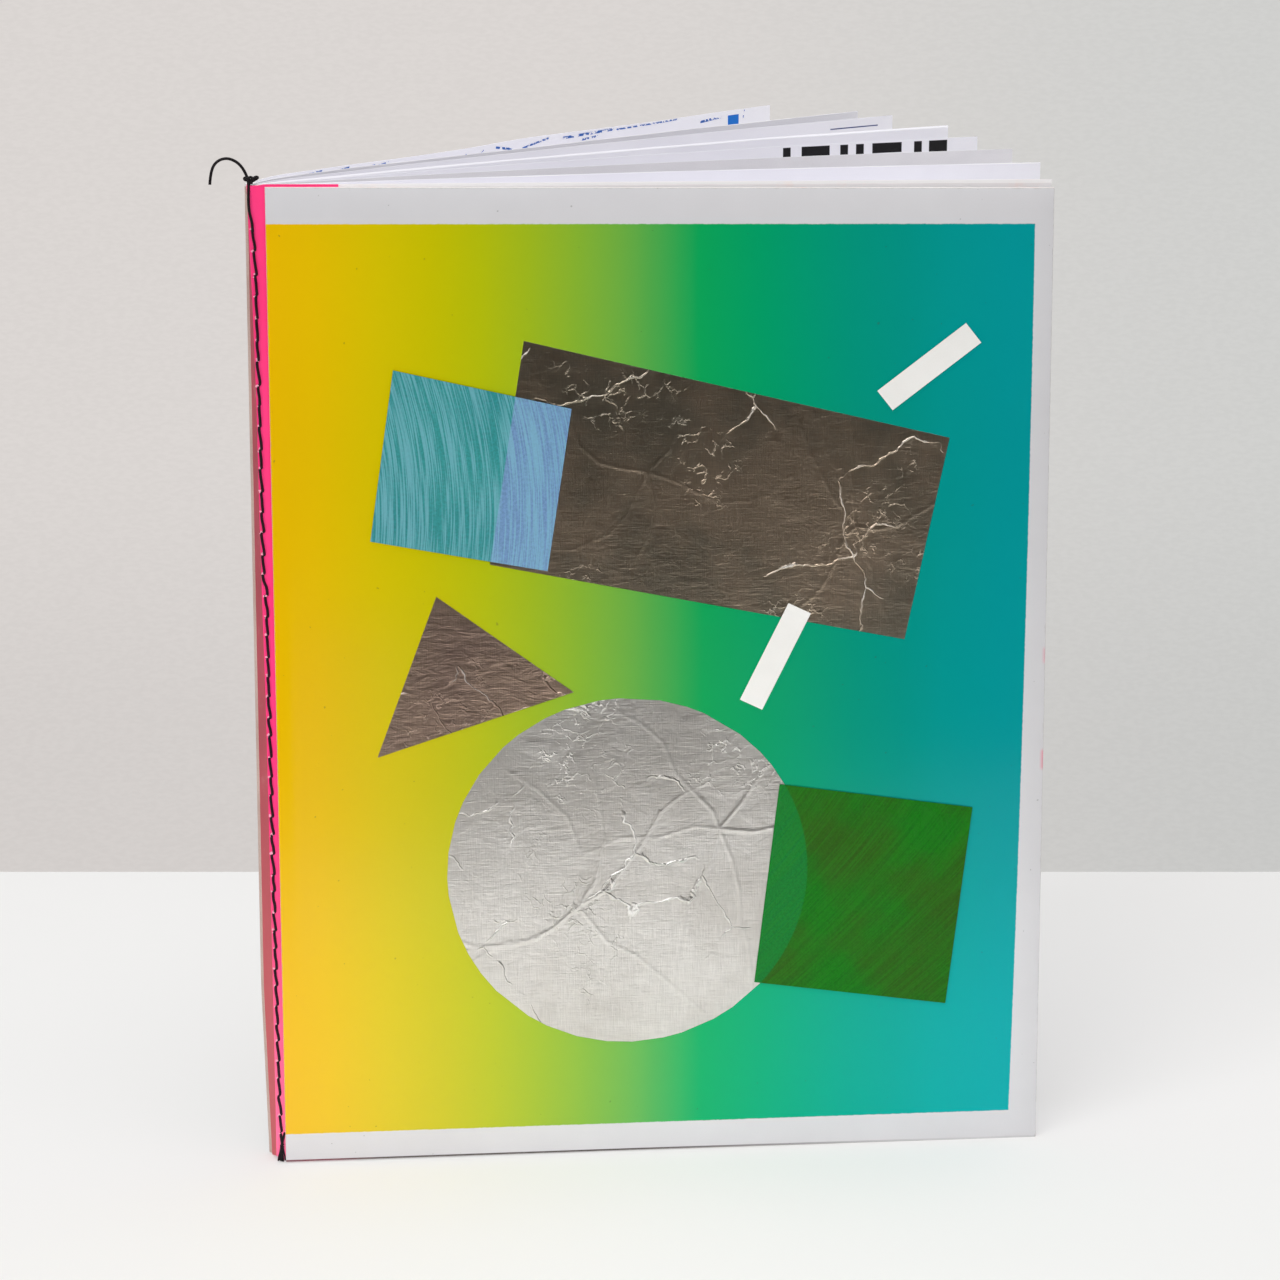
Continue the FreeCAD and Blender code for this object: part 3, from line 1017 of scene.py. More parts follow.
@dataclass(frozen=True)
class Covers:
    """The front and the back cover: stiff sheets of card with slightly rounded edges."""

    sizes: Sizes
    lie: Lie
    card: Paper = Paper("card inside", 0.7, colour=srgb(213, 212, 215), shade=srgb(208, 207, 210))
    edge: Paper = Paper("card edge", 0.8, colour=srgb(236, 231, 229), shade=srgb(224, 217, 214),
                        blotch=srgb(238, 196, 188), blotches=0.5)
    raw_edge: Paper = Paper("raw card edge", 0.85, colour=srgb(208, 186, 176),
                            shade=srgb(186, 158, 148), blotches=0.3, end_tone=srgb(232, 230, 233),
                            fade=(0.279, 0.2785))
    outside: Paper = Paper("back cover", 0.62, colour=srgb(213, 212, 215), shade=srgb(207, 206, 209),
                           blotch=srgb(190, 184, 176), blotches=0.14)
    face: PrintedCard = PrintedCard("front cover print", 0.13, 0.16, bump=0.02)
    step: float = 6 * MM
    round_over: float = 0.12 * MM
    droop: float = 1.5 * MM
    sag: float = 0.33 * MM
    sag_top: float = 4 * MM
    sag_along: Stops = ((0.1, 0.0), (0.2, 1.0))

    def shape(self, foot: float, place: Callable[[Vector], Vector]) -> Shape:
        """A cover as a shape.

        Args:
            foot: the height of its foot.
            place: moves a point of the flat cover, which faces forwards at Y 0, to where it lies.

        Returns:
            The shape, in place.
        """
        made = flat_sheet(self.sizes.board_width, self.sizes.board_height, self.step)
        thicken(made, self.sizes.board_thick, self.round_over)
        for vert in made.verts:
            vert.co = place(vert.co + Vector((0.0, 0.0, foot)))
        return made

    def front(self) -> Piece:
        """Makes the front cover, with its twist and the sag of its foot towards the fore edge."""
        low = self.sizes.board_low

        def place(point: Vector) -> Vector:
            """Moves a point of the flat cover to the front board."""
            there = point + Vector((low.x, low.y, 0.0))
            near = max(0.0, 1.0 - (point.z - low.z) / self.sag_top)
            sag = self.sag * near * eased(self.sag_along, point.x)
            return there + self.lie.twist(there) - Vector((0.0, 0.0, sag))

        return finished("front_cover_card", self.shape(low.z, place), (self.face, self.card, self.edge),
                        Body.FRONT, "cover_board", ["front_cover"])

    def back(self) -> Piece:
        """Makes the back cover where the frame's board is, with its outside facing back."""
        sizes = self.sizes
        hinge, ahead, out = sizes.back_hinge, sizes.back_ahead, sizes.back_out

        def place(point: Vector) -> Vector:
            """Moves a point of the flat cover to the back board, with its face turned outwards."""
            level = sizes.board_thick - point.y - self.lie.pressed(point.z, point.x)
            return hinge + ahead * point.x + out * level + Vector((0.0, 0.0, point.z))

        made = self.shape(sizes.back_box[0][2], place)
        for vert in made.verts:
            reach = (vert.co - hinge).xy.length / sizes.board_width
            vert.co.z -= self.droop * reach * vert.co.z / sizes.board_height
        bmesh.ops.reverse_faces(made, faces=made.faces[:])
        return finished("back_cover_card", made, (self.outside, self.card, self.raw_edge), Body.BACK,
                        "cover_board", ["back_cover"])


@dataclass(frozen=True)
class Leaves:
    """The four folded sheets, each one piece of paper with a leaf in front and a leaf behind.

    Bows and rises give each leaf's bulge to the side and its lift, in millimetres, by the share of
    its width. A bar has two distances from the fore edge and a depth under the head. A mark has two
    distances from the fold, the depth of each end and a width. All are in millimetres.
    """

    sizes: Sizes
    lie: Lie
    angles: tuple[float, ...] = (0.0, 5.5, 12.3, 19.0, 23.4, 30.7, 34.9, 44.4)
    bows: tuple[Stops, ...] = (
        ((0.0, 0.0), (1.0, 0.0)),
        ((0.0, 0.0), (0.06, 0.9), (0.25, 2.4), (0.5, 3.2), (0.75, 2.2), (1.0, 0.0)),
        ((0.0, 0.0), (0.05, 1.5), (0.25, 4.2), (0.5, 5.6), (0.75, 4.6), (1.0, 0.8)),
        ((0.0, 0.0), (0.05, 2.2), (0.25, 5.0), (0.5, 6.6), (0.75, 6.2), (1.0, 0.3)),
        ((0.0, 0.0), (0.05, 3.0), (0.25, 6.0), (0.5, 7.2), (0.75, 6.0), (1.0, 0.6)),
        ((0.0, 0.0), (0.045, 3.8), (0.25, 6.4), (0.5, 6.6), (0.75, 4.8), (1.0, 0.6)),
        ((0.0, 0.0), (0.045, 4.4), (0.2, 6.2), (0.4, 6.2), (0.7, 4.0), (1.0, 0.0)),
        ((0.0, 0.0), (0.02, 3.4), (0.045, 4.8), (0.12, 4.6), (0.3, 3.8), (0.5, 2.7), (0.8, 1.1),
         (1.0, 0.0)))
    rises: tuple[Stops, ...] = (
        ((0.0, 0.0), (0.12, 0.0), (0.52, 0.7), (1.0, 1.3)),
        ((0.0, 0.0), (1.0, 0.1)),
        ((0.0, 0.0), (1.0, 0.0)),
        ((0.0, 0.0), (1.0, 0.0)),
        ((0.0, 0.0), (0.5, 0.3), (1.0, 0.95)),
        ((0.0, 0.1), (0.5, 0.2), (1.0, 0.55)),
        ((0.0, 0.2), (0.1, 0.4), (0.4, -0.1), (1.0, 0.1)),
        ((0.0, 0.2), (0.05, 0.6), (0.18, 0.3), (0.28, -0.2), (0.4, -0.4), (0.5, 0.05), (0.58, -0.35),
         (0.65, -0.7), (0.77, -1.25), (0.88, -1.4), (1.0, -1.8)))
    width: float = 218 * MM
    creep: float = 0.45 * MM
    pitch: float = 0.33 * MM
    thick: float = 0.26 * MM
    sewn: float = 1.2 * MM
    fold: float = 0.75 * MM
    wave: float = 0.7 * MM
    crowding: float = 1.25
    leaf_steps: int = 34
    nose_steps: int = 8
    rows: int = 40
    bars: tuple[Triple, ...] = (
        (58.0, 55.6, 12.0), (52.2, 43.6, 4.2), (52.2, 49.8, 12.0), (40.4, 38.0, 12.0),
        (35.6, 33.2, 12.0), (30.6, 21.6, 3.4), (17.8, 15.4, 12.0), (13.2, 7.6, 5.0))
    marks: tuple[tuple[float, float, float, float, float], ...] = (
        (26.0, 31.0, 1.0, 0.6, 0.6), (38.0, 42.0, 1.2, 0.8, 0.9), (50.0, 57.0, 1.6, 0.7, 0.6),
        (50.5, 54.0, 0.6, 2.2, 0.45), (84.0, 88.0, 4.2, 1.6, 0.4), (90.0, 95.0, 4.2, 1.2, 0.5),
        (100.0, 107.0, 1.2, 2.6, 0.7), (111.0, 122.0, 2.8, 0.9, 0.6), (128.0, 150.0, 1.4, 0.7, 0.8),
        (151.0, 178.0, 0.9, 0.3, 0.5), (136.0, 143.0, 2.6, 2.1, 0.6), (188.0, 198.0, 2.2, 1.5, 0.8),
        (207.5, 208.2, 2.8, 0.3, 0.45))

    def root(self, number: int) -> Vector:
        """Where the middle of a leaf leaves the sewn fold, in plan."""
        half = len(self.angles) * self.pitch / 2
        return Vector((self.sewn, (number + 0.5) * self.pitch - half, 0.0))

    def leaf_point(self, number: int, share: float) -> Vector:
        """A plan point on a leaf.

        Args:
            number: which leaf, from 0 at the front.
            share: how far along, from 0 at the sewn fold to 1 at the fore edge.

        Returns:
            The point.
        """
        nested = min(number, len(self.angles) - 1 - number)
        angle = math.radians(self.angles[number])
        tip = Vector((math.cos(angle), math.sin(angle), 0.0)) * (self.width + nested * self.creep)
        root = self.root(number)
        chord = tip - root
        side = Vector((-chord.y, chord.x, 0.0)).normalized()
        point = root + chord * share + side * smooth(self.bows[number], share) * MM
        point.z = smooth(self.rises[number], share) * MM
        return point

    def path(self, number: int) -> tuple[list[Vector], list[float]]:
        """The plan line of a folded sheet, from its back leaf's fore edge round to its front leaf's.

        Args:
            number: which sheet, from 0 outside.

        Returns:
            Its points, and each one's distance from the fold, which is negative on the back leaf.
        """
        last = len(self.angles) - 1 - number
        shares = [(step / self.leaf_steps) ** self.crowding for step in range(self.leaf_steps + 1)]
        back = [self.leaf_point(last, share) for share in reversed(shares)]
        front = [self.leaf_point(number, share) for share in shares]
        radius = abs(self.root(number).y)
        left = len(self.angles) * self.pitch / 2 - self.fold
        nose = []
        for step in range(self.nose_steps + 1):
            turn = math.pi / 2 + math.pi * step / self.nose_steps
            nose.append(Vector((left + radius * math.cos(turn), radius * math.sin(turn), 0.0)))
        points = back + nose + front
        along = distances(points)
        middle = along[len(back) + self.nose_steps // 2]
        return points, [length - middle for length in along]

    def sheet(self, number: int, finishes: Sequence[Finish]) -> Piece:
        """Makes one folded sheet.

        Args:
            number: which sheet, from 0 outside.
            finishes: its outside, its inside and its cut edges.

        Returns:
            The sheet.
        """
        line, along = self.path(number)

        def place(step: int, outwards: Vector, depth: float, high: float) -> Vector:
            """Moves a point of the sheet to its leaf, which rises, waves and strays as the real one."""
            there = line[step] + outwards.normalized() * (self.thick / 2 - depth)
            there.z = high + line[step].z * high / self.sizes.page_high
            if number:
                wave = noise.noise(Vector((there.x * 9.0, there.y * 14.0, high * 5.0 + number * 3.1)))
                there += outwards * wave * min(1.0, there.length / self.width) * self.wave
            there += self.lie.drift(there)
            if number == 0 and along[step] > 0.0:
                there += self.lie.twist(there)
            return there

        made = follow(line, along, self.thick, self.sizes.page_high, self.rows, place)
        return finished(f"folded_sheet_{number + 1}", made, finishes, Body.BOOK, "page_paper",
                        () if number else ["pages"])

    def build(self) -> list[Piece]:
        """Makes all the sheets, from the outside in."""
        high, reach = self.sizes.page_high, self.width
        black, navy, blue = srgb(18, 16, 20), srgb(48, 66, 120), srgb(16, 112, 206)

        def page(name: str, glow: float, lit: float, kind: type[Paper] = Paper, **looks: object) -> Paper:
            """A finish for a page's face, with a painted glow, and a painted highlight along its head for
            so many millimetres.
            """
            return kind(name, 0.75, glow=glow, rim=high - lit * MM, **looks)

        bars = tuple(((reach - start * MM, high - low * MM), (reach - end * MM, high - 0.5 * MM), black)
                     for start, end, low in self.bars)
        marks = tuple(((-far * MM, high - first * MM), (-near * MM, high - last * MM), width * MM)
                      for far, near, first, last, width in self.marks)
        patch = ((-0.2055, high - 5.2 * MM), (-0.2005, high - 1.4 * MM), blue)
        rule = ((-reach + 3.3 * MM, high - 2.7 * MM), (-reach + 20.0 * MM, high - 2.35 * MM), navy)
        # Painted light: each page glows by its own amount, and a painted highlight lines its head edge.
        plain = page("page paper", 0.01, 0.5)
        highlit = page("curled page", 0.05, 0.9)
        # Painted shade: a greyer copy of the page paper for the leaf that lies in shade.
        shaded = page("greyer page", 0.05, 0.3, colour=srgb(240, 238, 242), shade=srgb(230, 228, 233))
        stained = page("soiled page", 0.05, 1.4, rim_light=0.15, clean_below=high - 9 * MM,
                       colour=srgb(242, 239, 240), shade=srgb(238, 235, 236),
                       blotch=srgb(246, 222, 216), blotches=0.5)
        centre = page("centre sheet", 0.045, 0.3, MarkedPaper, blocks=bars)
        drawn = page("last page", 0.21, 0.15, MarkedPaper, strokes=marks, blocks=(patch,))
        lined = page("lined page", 0.09, 0.25, MarkedPaper, blocks=(rule,))
        edge = Paper("page edges", 0.8, colour=srgb(252, 251, 254), shade=srgb(244, 243, 247))
        faces = ((stained, drawn), (plain, plain), (shaded, lined), (centre, highlit))
        return [self.sheet(number, (*pair, edge)) for number, pair in enumerate(faces)]


@dataclass(frozen=True)
class SpineStrip:
    """The strip of neon paper round the spine, in three stretches: one under each cover, one between.

    The front bend is in shares of the gap from the fold to the cover, the back bend in millimetres
    from the hinge.
    """

    sizes: Sizes
    lie: Lie
    thick: float = 0.24 * MM
    ridge: float = -1.0 * MM
    flap: float = 20 * MM
    gap: float = 2.3 * MM
    rows: int = 56
    foot_lift: float = 1.7 * MM
    flap_height: float = 0.9955
    crowding: float = 1.6
    steps: tuple[int, int, int] = (22, 10, 16)
    front_bend: Point = (0.5, 0.98)
    back_bend: Point = (0.2, 1.6)

    def stretch(self, name: str, line: Sequence[Vector], finishes: Sequence[Finish],
                move: Callable[[Vector], Vector]) -> Piece:
        """Makes one stretch of the strip.

        Args:
            name: its name.
            line: its outer face in plan, with the outside on its right.
            finishes: its outside, its inside and its cut edges.
            move: moves a point to where the real strip strays to.

        Returns:
            The stretch.
        """

        def place(step: int, outwards: Vector, depth: float, high: float) -> Vector:
            """Moves a point of the flat strip to the line, and on to where it strays to."""
            there = line[step] - outwards * depth
            return move(Vector((there.x, there.y, high)))

        made = follow(line, distances(line), self.thick, self.sizes.page_high, self.rows, place)
        return finished(name, made, finishes, None, "neon_paper")

    def build(self) -> None:
        """Makes the three stretches, and sets the middle one on the book."""
        neon = Paper("neon paper", 0.65, 0.25, colour=srgb(255, 62, 132), shade=srgb(252, 54, 124),
                     glow=0.12, end_tone=srgb(255, 112, 156), fade=(0.0, 0.11))
        # Painted shade: the spine stretch is a darker copy of the neon paper, for the spine side that
        # faces away from the light; it also has lighter blotches and grows lighter towards the foot.
        shaded_neon = Paper("shaded neon paper", 0.8, colour=srgb(196, 78, 92), shade=srgb(176, 66, 80),
                     blotch=srgb(206, 140, 140), blotches=0.35, end_tone=srgb(214, 98, 104),
                     fade=(0.0, 0.16))
        edge = Paper("neon paper edge", 0.7, 0.25, colour=srgb(255, 96, 150), shade=srgb(250, 76, 136),
                     glow=0.1)
        face = self.sizes.strip_face
        back, ahead = self.sizes.back_hinge, self.sizes.back_ahead
        ridge = Vector((self.ridge, face, 0.0))
        far = Vector((self.gap + self.flap, face, 0.0))
        first, second, third = self.steps
        front_line = [ridge.lerp(far, (step / first) ** self.crowding) for step in range(first + 1)]
        front = self.stretch("strip_front", front_line, (neon, neon, edge), self.front_move)
        start, end = self.front_bend
        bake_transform(front)
        spine_line = [back.lerp(ridge, step / second) for step in range(second + 1)]
        spine = self.stretch("strip_spine", spine_line, (shaded_neon, neon, edge), self.spine_move)
        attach(spine, Body.BOOK.value)
        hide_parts("spine_strip")
        back_line = [back + ahead * (self.flap * (1 - step / third)) for step in range(third + 1)]
        flap = self.stretch("strip_back", back_line, (neon, neon, edge), self.back_move)
        start, end = self.back_bend
        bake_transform(flap)

    def front_move(self, point: Vector) -> Vector:
        """The drift of the ridge and the twist of the cover."""
        near = min(1.0, max(0.0, (self.gap - point.x) / (self.gap - self.ridge)))
        moved = point + self.lie.drift(point)
        return moved + self.lie.twist(moved) + self.lifted(point, near)

    def back_move(self, point: Vector) -> Vector:
        """The press of the back flap's foot, and the flap's slight shortness."""
        along = (point - self.sizes.back_hinge).xy.length
        moved = point - self.sizes.back_out * self.lie.pressed(point.z, along)
        return Vector((moved.x, moved.y, point.z * self.flap_height))

    def spine_move(self, point: Vector) -> Vector:
        """The drift of the ridge and the press of the back cover, each of which fades to the other."""
        back = self.sizes.back_hinge.y
        share = min(1.0, max(0.0, (back - point.y) / (back - self.sizes.strip_face)))
        press = self.sizes.back_out * self.lie.pressed(point.z, 0.0) * (1.0 - share)
        drift = self.lie.drift(Vector((0.0, 0.0, point.z))) * share
        return point + drift + self.lifted(point, share) - press

    def lifted(self, point: Vector, near: float) -> Vector:
        """The strip's shortness at the foot of the ridge, by how near the ridge a point is."""
        return Vector((0.0, 0.0, self.foot_lift * near * (1.0 - point.z / self.sizes.page_high)))


@dataclass(frozen=True)
class Sewing:
    """The thread: the row of stitches, its knots and its loose end.

    The arch gives a stitch's height over the strip, in millimetres, by the share of its length. The
    line gives the row's X by its height, both in millimetres.
    """

    sizes: Sizes
    count: int = 45
    top: float = 268.6 * MM
    foot: float = 8.9 * MM
    radius: float = 0.4 * MM
    slant: float = 0.24 * MM
    first_hole: float = 267.5 * MM
    end_length: float = 0.0335
    longer: float = 0.07
    uneven: float = 0.4 * MM
    arch: Stops = ((0.03, 0.05), (0.15, 0.38), (0.38, 0.46), (0.62, 0.48), (0.85, 0.42), (0.97, 0.1))
    line: Stops = ((6.0, 1.2), (11.0, 1.1), (20.0, 0.92), (32.0, 0.75), (90.0, 0.42), (141.0, 0.15),
                   (160.0, 0.12), (168.5, 0.0), (171.5, -0.65), (187.0, -0.6), (212.0, -0.8),
                   (236.0, -1.0), (254.0, -1.1), (262.0, -1.25), (268.8, -1.65))
    head: Triple = (-1.95 * MM, 0.75 * MM, 282.05 * MM)
    tuft: Triple = (1.35 * MM, -0.55 * MM, 4.4 * MM)
    thread: Thread = Thread("waxed thread", 0.6, 0.3, bump=0.5, bump_depth=0.0002)
    # Painted reflection: the stitch row's thread is tinted wine, as pink light thrown back from the neon
    # strip.
    pink_lit_thread: Thread = Thread("thread on neon", 0.6, 0.3, bump=0.5, bump_depth=0.0002,
                            colour=srgb(30, 6, 16), sheen=srgb(62, 18, 36))
    fray: Paper = Paper("torn paper", 0.85, colour=srgb(255, 190, 208), shade=srgb(250, 140, 176))

    def hole(self, number: int) -> float:
        """The height of a hole, counted from the head, where the stitches are longer."""
        share = number / self.count
        uneven = math.sin(number * 2.4) * self.uneven if 0 < number < self.count else 0.0
        share += self.longer * share * (1.0 - share)
        return self.top - (self.top - self.foot) * share + uneven

    def beside(self, high: float) -> float:
        """X of the row of stitches at a height."""
        return eased(self.line, high / MM) * MM

    def stitches(self) -> Piece:
        """Makes the row of stitches, each slanted, arched over the paper and pulled in at its holes."""
        face = self.sizes.strip_face
        chance = random.Random(7)
        points = [Vector((self.beside(self.top), face + 0.5 * MM, self.top + 0.3 * MM))]
        for number in range(self.count):
            start, end = self.hole(number), self.hole(number + 1)
            lean = self.slant * chance.uniform(0.5, 1.5)
            for share, out in self.arch:
                high = start + (end - start) * share
                sway = lean * math.sin((share - 0.5) * 3.6) + chance.uniform(-0.09, 0.09) * MM
                points.append(Vector((self.beside(high) + sway, face - out * MM, high)))
            points.append(Vector((self.beside(end), face + 0.3 * MM, end)))
        made = meshed(tube("stitch line", points, self.radius))
        return finished("stitch_row", made, (self.pink_lit_thread,), Body.BOOK, "thread", ["stitching"])

    def tears(self) -> Piece:
        """Makes the frayed paper beside the holes."""
        chance = random.Random(11)
        made = bmesh.new()
        for number in range(self.count + 1):
            high = self.hole(number)
            for _ in range(2):
                size = chance.uniform(0.22, 0.42) * MM
                turn = (Matrix.Rotation(chance.uniform(0, math.pi), 4, "Y")
                        @ Matrix.Rotation(math.pi / 2, 4, "X"))
                place = Vector((self.beside(high) - chance.uniform(0.1, 0.6) * MM,
                                self.sizes.strip_face - chance.uniform(0.1, 0.5) * MM,
                                high + chance.uniform(-0.5, 0.5) * MM))
                new = bmesh.ops.create_circle(made, cap_ends=True, segments=7, radius=size,
                                              matrix=Matrix.Translation(place) @ turn)
                for vert in new["verts"]:
                    vert.co = place + (vert.co - place) * chance.uniform(0.5, 1.6)
        bmesh.ops.solidify(made, geom=made.faces[:], thickness=0.05 * MM)
        bmesh.ops.recalc_face_normals(made, faces=made.faces[:])
        put_in_order(made)
        made.loops.layers.uv.new("sheet")
        return finished("frayed_holes", made, (self.fray,), Body.BOOK, "neon_paper")

    def strand(self, origin: Sequence[float], points: Sequence[Triple],
               radius: float | None = None) -> Shape:
        """A length of thread through points in millimetres from an origin."""
        places = [Vector(origin) + Vector(point) * MM for point in points]
        return meshed(tube("strand", places, radius or self.radius))

    def head_knot(self) -> Piece:
        """Makes the lumpy knot at the head: two small loops pulled tight over a wrap."""
        face = self.sizes.strip_face
        made = self.strand((self.head[0], face + self.head[1], self.head[2]), (
            (-0.5, -0.6, -1.6), (-0.5, -0.5, -0.7), (-0.6, -0.6, 0.1), (-1.2, -0.6, 0.6),
            (-1.8, -0.1, 0.4), (-1.6, 0.5, -0.2), (-0.7, 0.5, -0.3), (0.2, -0.5, -0.2),
            (0.8, -0.6, 0.5), (1.5, -0.4, 0.8), (2.0, 0.1, 0.5), (1.5, 0.6, 0.0), (0.5, 0.5, -0.5),
            (-0.4, -0.4, -0.7), (-0.9, -0.3, 0.1), (-0.2, 0.2, 0.7), (0.6, 0.1, 0.3),
            (0.3, -0.6, -0.5), (0.0, -0.7, -1.1)))
        return finished("thread_knot_head", made, (self.thread,), Body.BOOK, "thread", ["head_knot"])

    def foot_knot(self) -> Piece:
        """Makes the foot of the thread: two strands that meet in a wrapped neck over a frayed tuft."""
        chance = random.Random(19)
        face = self.sizes.strip_face
        origin = (self.tuft[0], face + self.tuft[1], self.tuft[2])
        made = bmesh.new()
        parts = [self.strand(origin, ((-0.3, 0.8, 4.5), (-0.3, 0.1, 3.7), (-0.1, 0.0, 2.2),
                                      (0.1, 0.0, 0.6), (0.0, 0.1, -0.6))),
                 self.strand(origin, ((1.0, 1.0, 5.4), (0.85, 0.3, 4.5), (0.5, -0.1, 3.2),
                                      (0.15, -0.2, 1.8), (0.05, -0.2, 0.4)), 0.34 * MM)]
        wrap = [(0.42 * math.cos(turn * 0.9), 0.42 * math.sin(turn * 0.9) - 0.05, 0.9 - turn * 0.11)
                for turn in range(16)]
        parts.append(self.strand(origin, wrap, 0.24 * MM))
        for _ in range(26):
            side, out = chance.uniform(-1.2, 1.05), chance.uniform(-0.45, 0.4)
            length = chance.uniform(3.5, 4.3)
            points = ((side * 0.3, out * 0.4, 0.2), (side * 0.5, out * 0.7, -1.4),
                      (side * 0.95, out, -0.75 * length), (side, out * 1.1, -length))
            parts.append(self.strand(origin, points, chance.uniform(0.12, 0.2) * MM))
        for part in parts:
            mesh = baked("strand", part)
            made.from_mesh(mesh)
            bpy.data.meshes.remove(mesh)
        return finished("thread_knot_foot", made, (self.thread,), Body.BOOK, "thread", ["foot_knot"])

    def loose_end(self) -> Piece:
        """Makes the loose end, which climbs to the knot and arcs out over the head of the spine."""
        face = self.sizes.strip_face
        route = ((-1.7, 0.45, 0.4), (-1.75, 0.55, 2.8), (-2.5, 0.65, 5.5), (-2.7, 0.55, 8.2),
                 (-2.65, 0.3, 11.1), (-2.5, -0.3, 13.9), (-3.5, -0.45, 16.9), (-5.4, -0.2, 19.45),
                 (-8.4, 0.2, 20.75), (-11.3, 0.7, 19.75), (-12.75, 1.1, 16.9), (-13.0, 1.3, 13.6))
        points = [Vector((x * MM, face - out * MM, self.first_hole + up * MM)) for x, out, up in route]
        piece = tube("loose_thread", points, self.radius)
        piece.data.materials.append(self.thread.material())
        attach(piece, Body.BOOK.value)
        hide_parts("loose_end")
        return piece

    def build(self) -> None:
        """Makes the thread's pieces."""
        self.loose_end()
        self.stitches()
        self.tears()
        self.head_knot()
        self.foot_knot()


@dataclass(frozen=True)
class Creases:
    """The strong creases of a foil piece: jagged lines that run out from a few hubs."""

    hubs: tuple[Point, ...]
    arms: int
    reach: float
    seed: int
    rise: float = 0.17 * MM
    breadth: float = 0.34 * MM

    def lines(self) -> list[tuple[Point, Point, float]]:
        """The creases as short straight runs, each with its height."""
        chance = random.Random(self.seed)
        runs = []
        for hub in self.hubs:
            for arm in range(self.arms):
                angle = 2 * math.pi * (arm + chance.uniform(-0.35, 0.35)) / self.arms
                x, z = hub
                steps = chance.randint(4, 8)
                rise = self.rise * chance.uniform(0.45, 1.0)
                for step in range(steps):
                    angle += chance.uniform(-0.5, 0.5)
                    length = self.reach / steps * chance.uniform(0.6, 1.3)
                    there = (x + math.cos(angle) * length, z + math.sin(angle) * length)
                    runs.append(((x, z), there, rise * (1.0 - 0.8 * step / steps)))
                    x, z = there
        return runs


@dataclass(frozen=True)
class CutPiece:
    """A flat piece glued on the front cover."""

    name: str
    node: str
    slot: str
    outline: tuple[Point, ...]
    level: int
    finish: Finish
    edge: Finish
    step: float = 1.6 * MM
    creases: Creases | None = None
    lift: float = 0.12 * MM
    thick: float = 0.09 * MM
    uneven: float = 0.03 * MM

    def relief(self) -> Callable[[float, float], float]:
        """A function that gives the height of the creases at a place on the cover."""
        runs = self.creases.lines() if self.creases else []
        breadth = self.creases.breadth if self.creases else 1.0
        margin = 3 * breadth

        def height(x: float, z: float) -> float:
            """The height of the highest crease there."""
            best = 0.0
            for (ax, az), (bx, bz), rise in runs:
                if not (min(ax, bx) - margin <= x <= max(ax, bx) + margin
                        and min(az, bz) - margin <= z <= max(az, bz) + margin):
                    continue
                along = ((x - ax) * (bx - ax) + (z - az) * (bz - az)) / ((bx - ax) ** 2 + (bz - az) ** 2)
                along = min(1.0, max(0.0, along))
                away = math.hypot(x - ax - along * (bx - ax), z - az - along * (bz - az))
                best = max(best, rise * math.exp(-(away / breadth) ** 2))
            return best

        return height

    def build(self, sizes: Sizes, lie: Lie, under: Callable[[float, float], float] | None) -> Piece:
        """Makes the piece on the cover.

        Args:
            sizes: the frame's sizes.
            lie: how the cover is twisted.
            under: the height of the creases in what lies under the piece, if anything does.

        Returns:
            The piece.
        """
        high = [max(places) for places in zip(*self.outline)]
        low = [min(places) for places in zip(*self.outline)]
        made = flat_sheet(high[0] - low[0], high[1] - low[1], self.step)
        bmesh.ops.translate(made, verts=made.verts, vec=(low[0], 0.0, low[1]))
        cut_out(made, self.outline)
        thicken(made, self.thick)
        height = self.relief()
        for vert in made.verts:
            out = self.level * self.lift + self.thick + height(vert.co.x, vert.co.z)
            if under:
                out += under(vert.co.x, vert.co.z)
            out += (0.5 + noise.noise(vert.co * 60.0)) * self.uneven
            there = sizes.board_low + Vector((vert.co.x, vert.co.y - out, vert.co.z))
            vert.co = there + lie.twist(there)
        return finished(self.name, made, (self.finish, self.edge, self.edge), Body.FRONT, self.slot,
                        [self.node])


def scissored(centre: Point, radius: float, facets: int, seed: int) -> tuple[Point, ...]:
    """The outline of a disc cut by hand, in uneven straight snips.

    Args:
        centre: its middle.
        radius: its radius.
        facets: how many snips there are.
        seed: makes the snips uneven in the same way each time.

    Returns:
        The corners, anticlockwise.
    """
    chance = random.Random(seed)
    corners = []
    for number in range(facets):
        angle = 2 * math.pi * (number + chance.uniform(-0.3, 0.3)) / facets
        corners.append((centre[0] + radius * math.cos(angle), centre[1] + radius * math.sin(angle)))
    return tuple(corners)


def millimetres(*corners: Point) -> tuple[Point, ...]:
    """Corners written in millimetres, in metres."""
    return tuple((x * MM, z * MM) for x, z in corners)


def turned_tape(corner: Point, angle: float, length: float = 31.0,
                width: float = 7.0) -> tuple[Point, ...]:
    """The outline of a strip of tape turned about its lower corner, in millimetres and degrees."""
    ahead = Vector((math.cos(math.radians(angle)), math.sin(math.radians(angle))))
    side = Vector((-ahead.y, ahead.x))
    start = Vector(corner)
    end = start + ahead * length
    corners = (start, end, end + side * width, start + side * width)
    return millimetres(*(tuple(point) for point in corners))


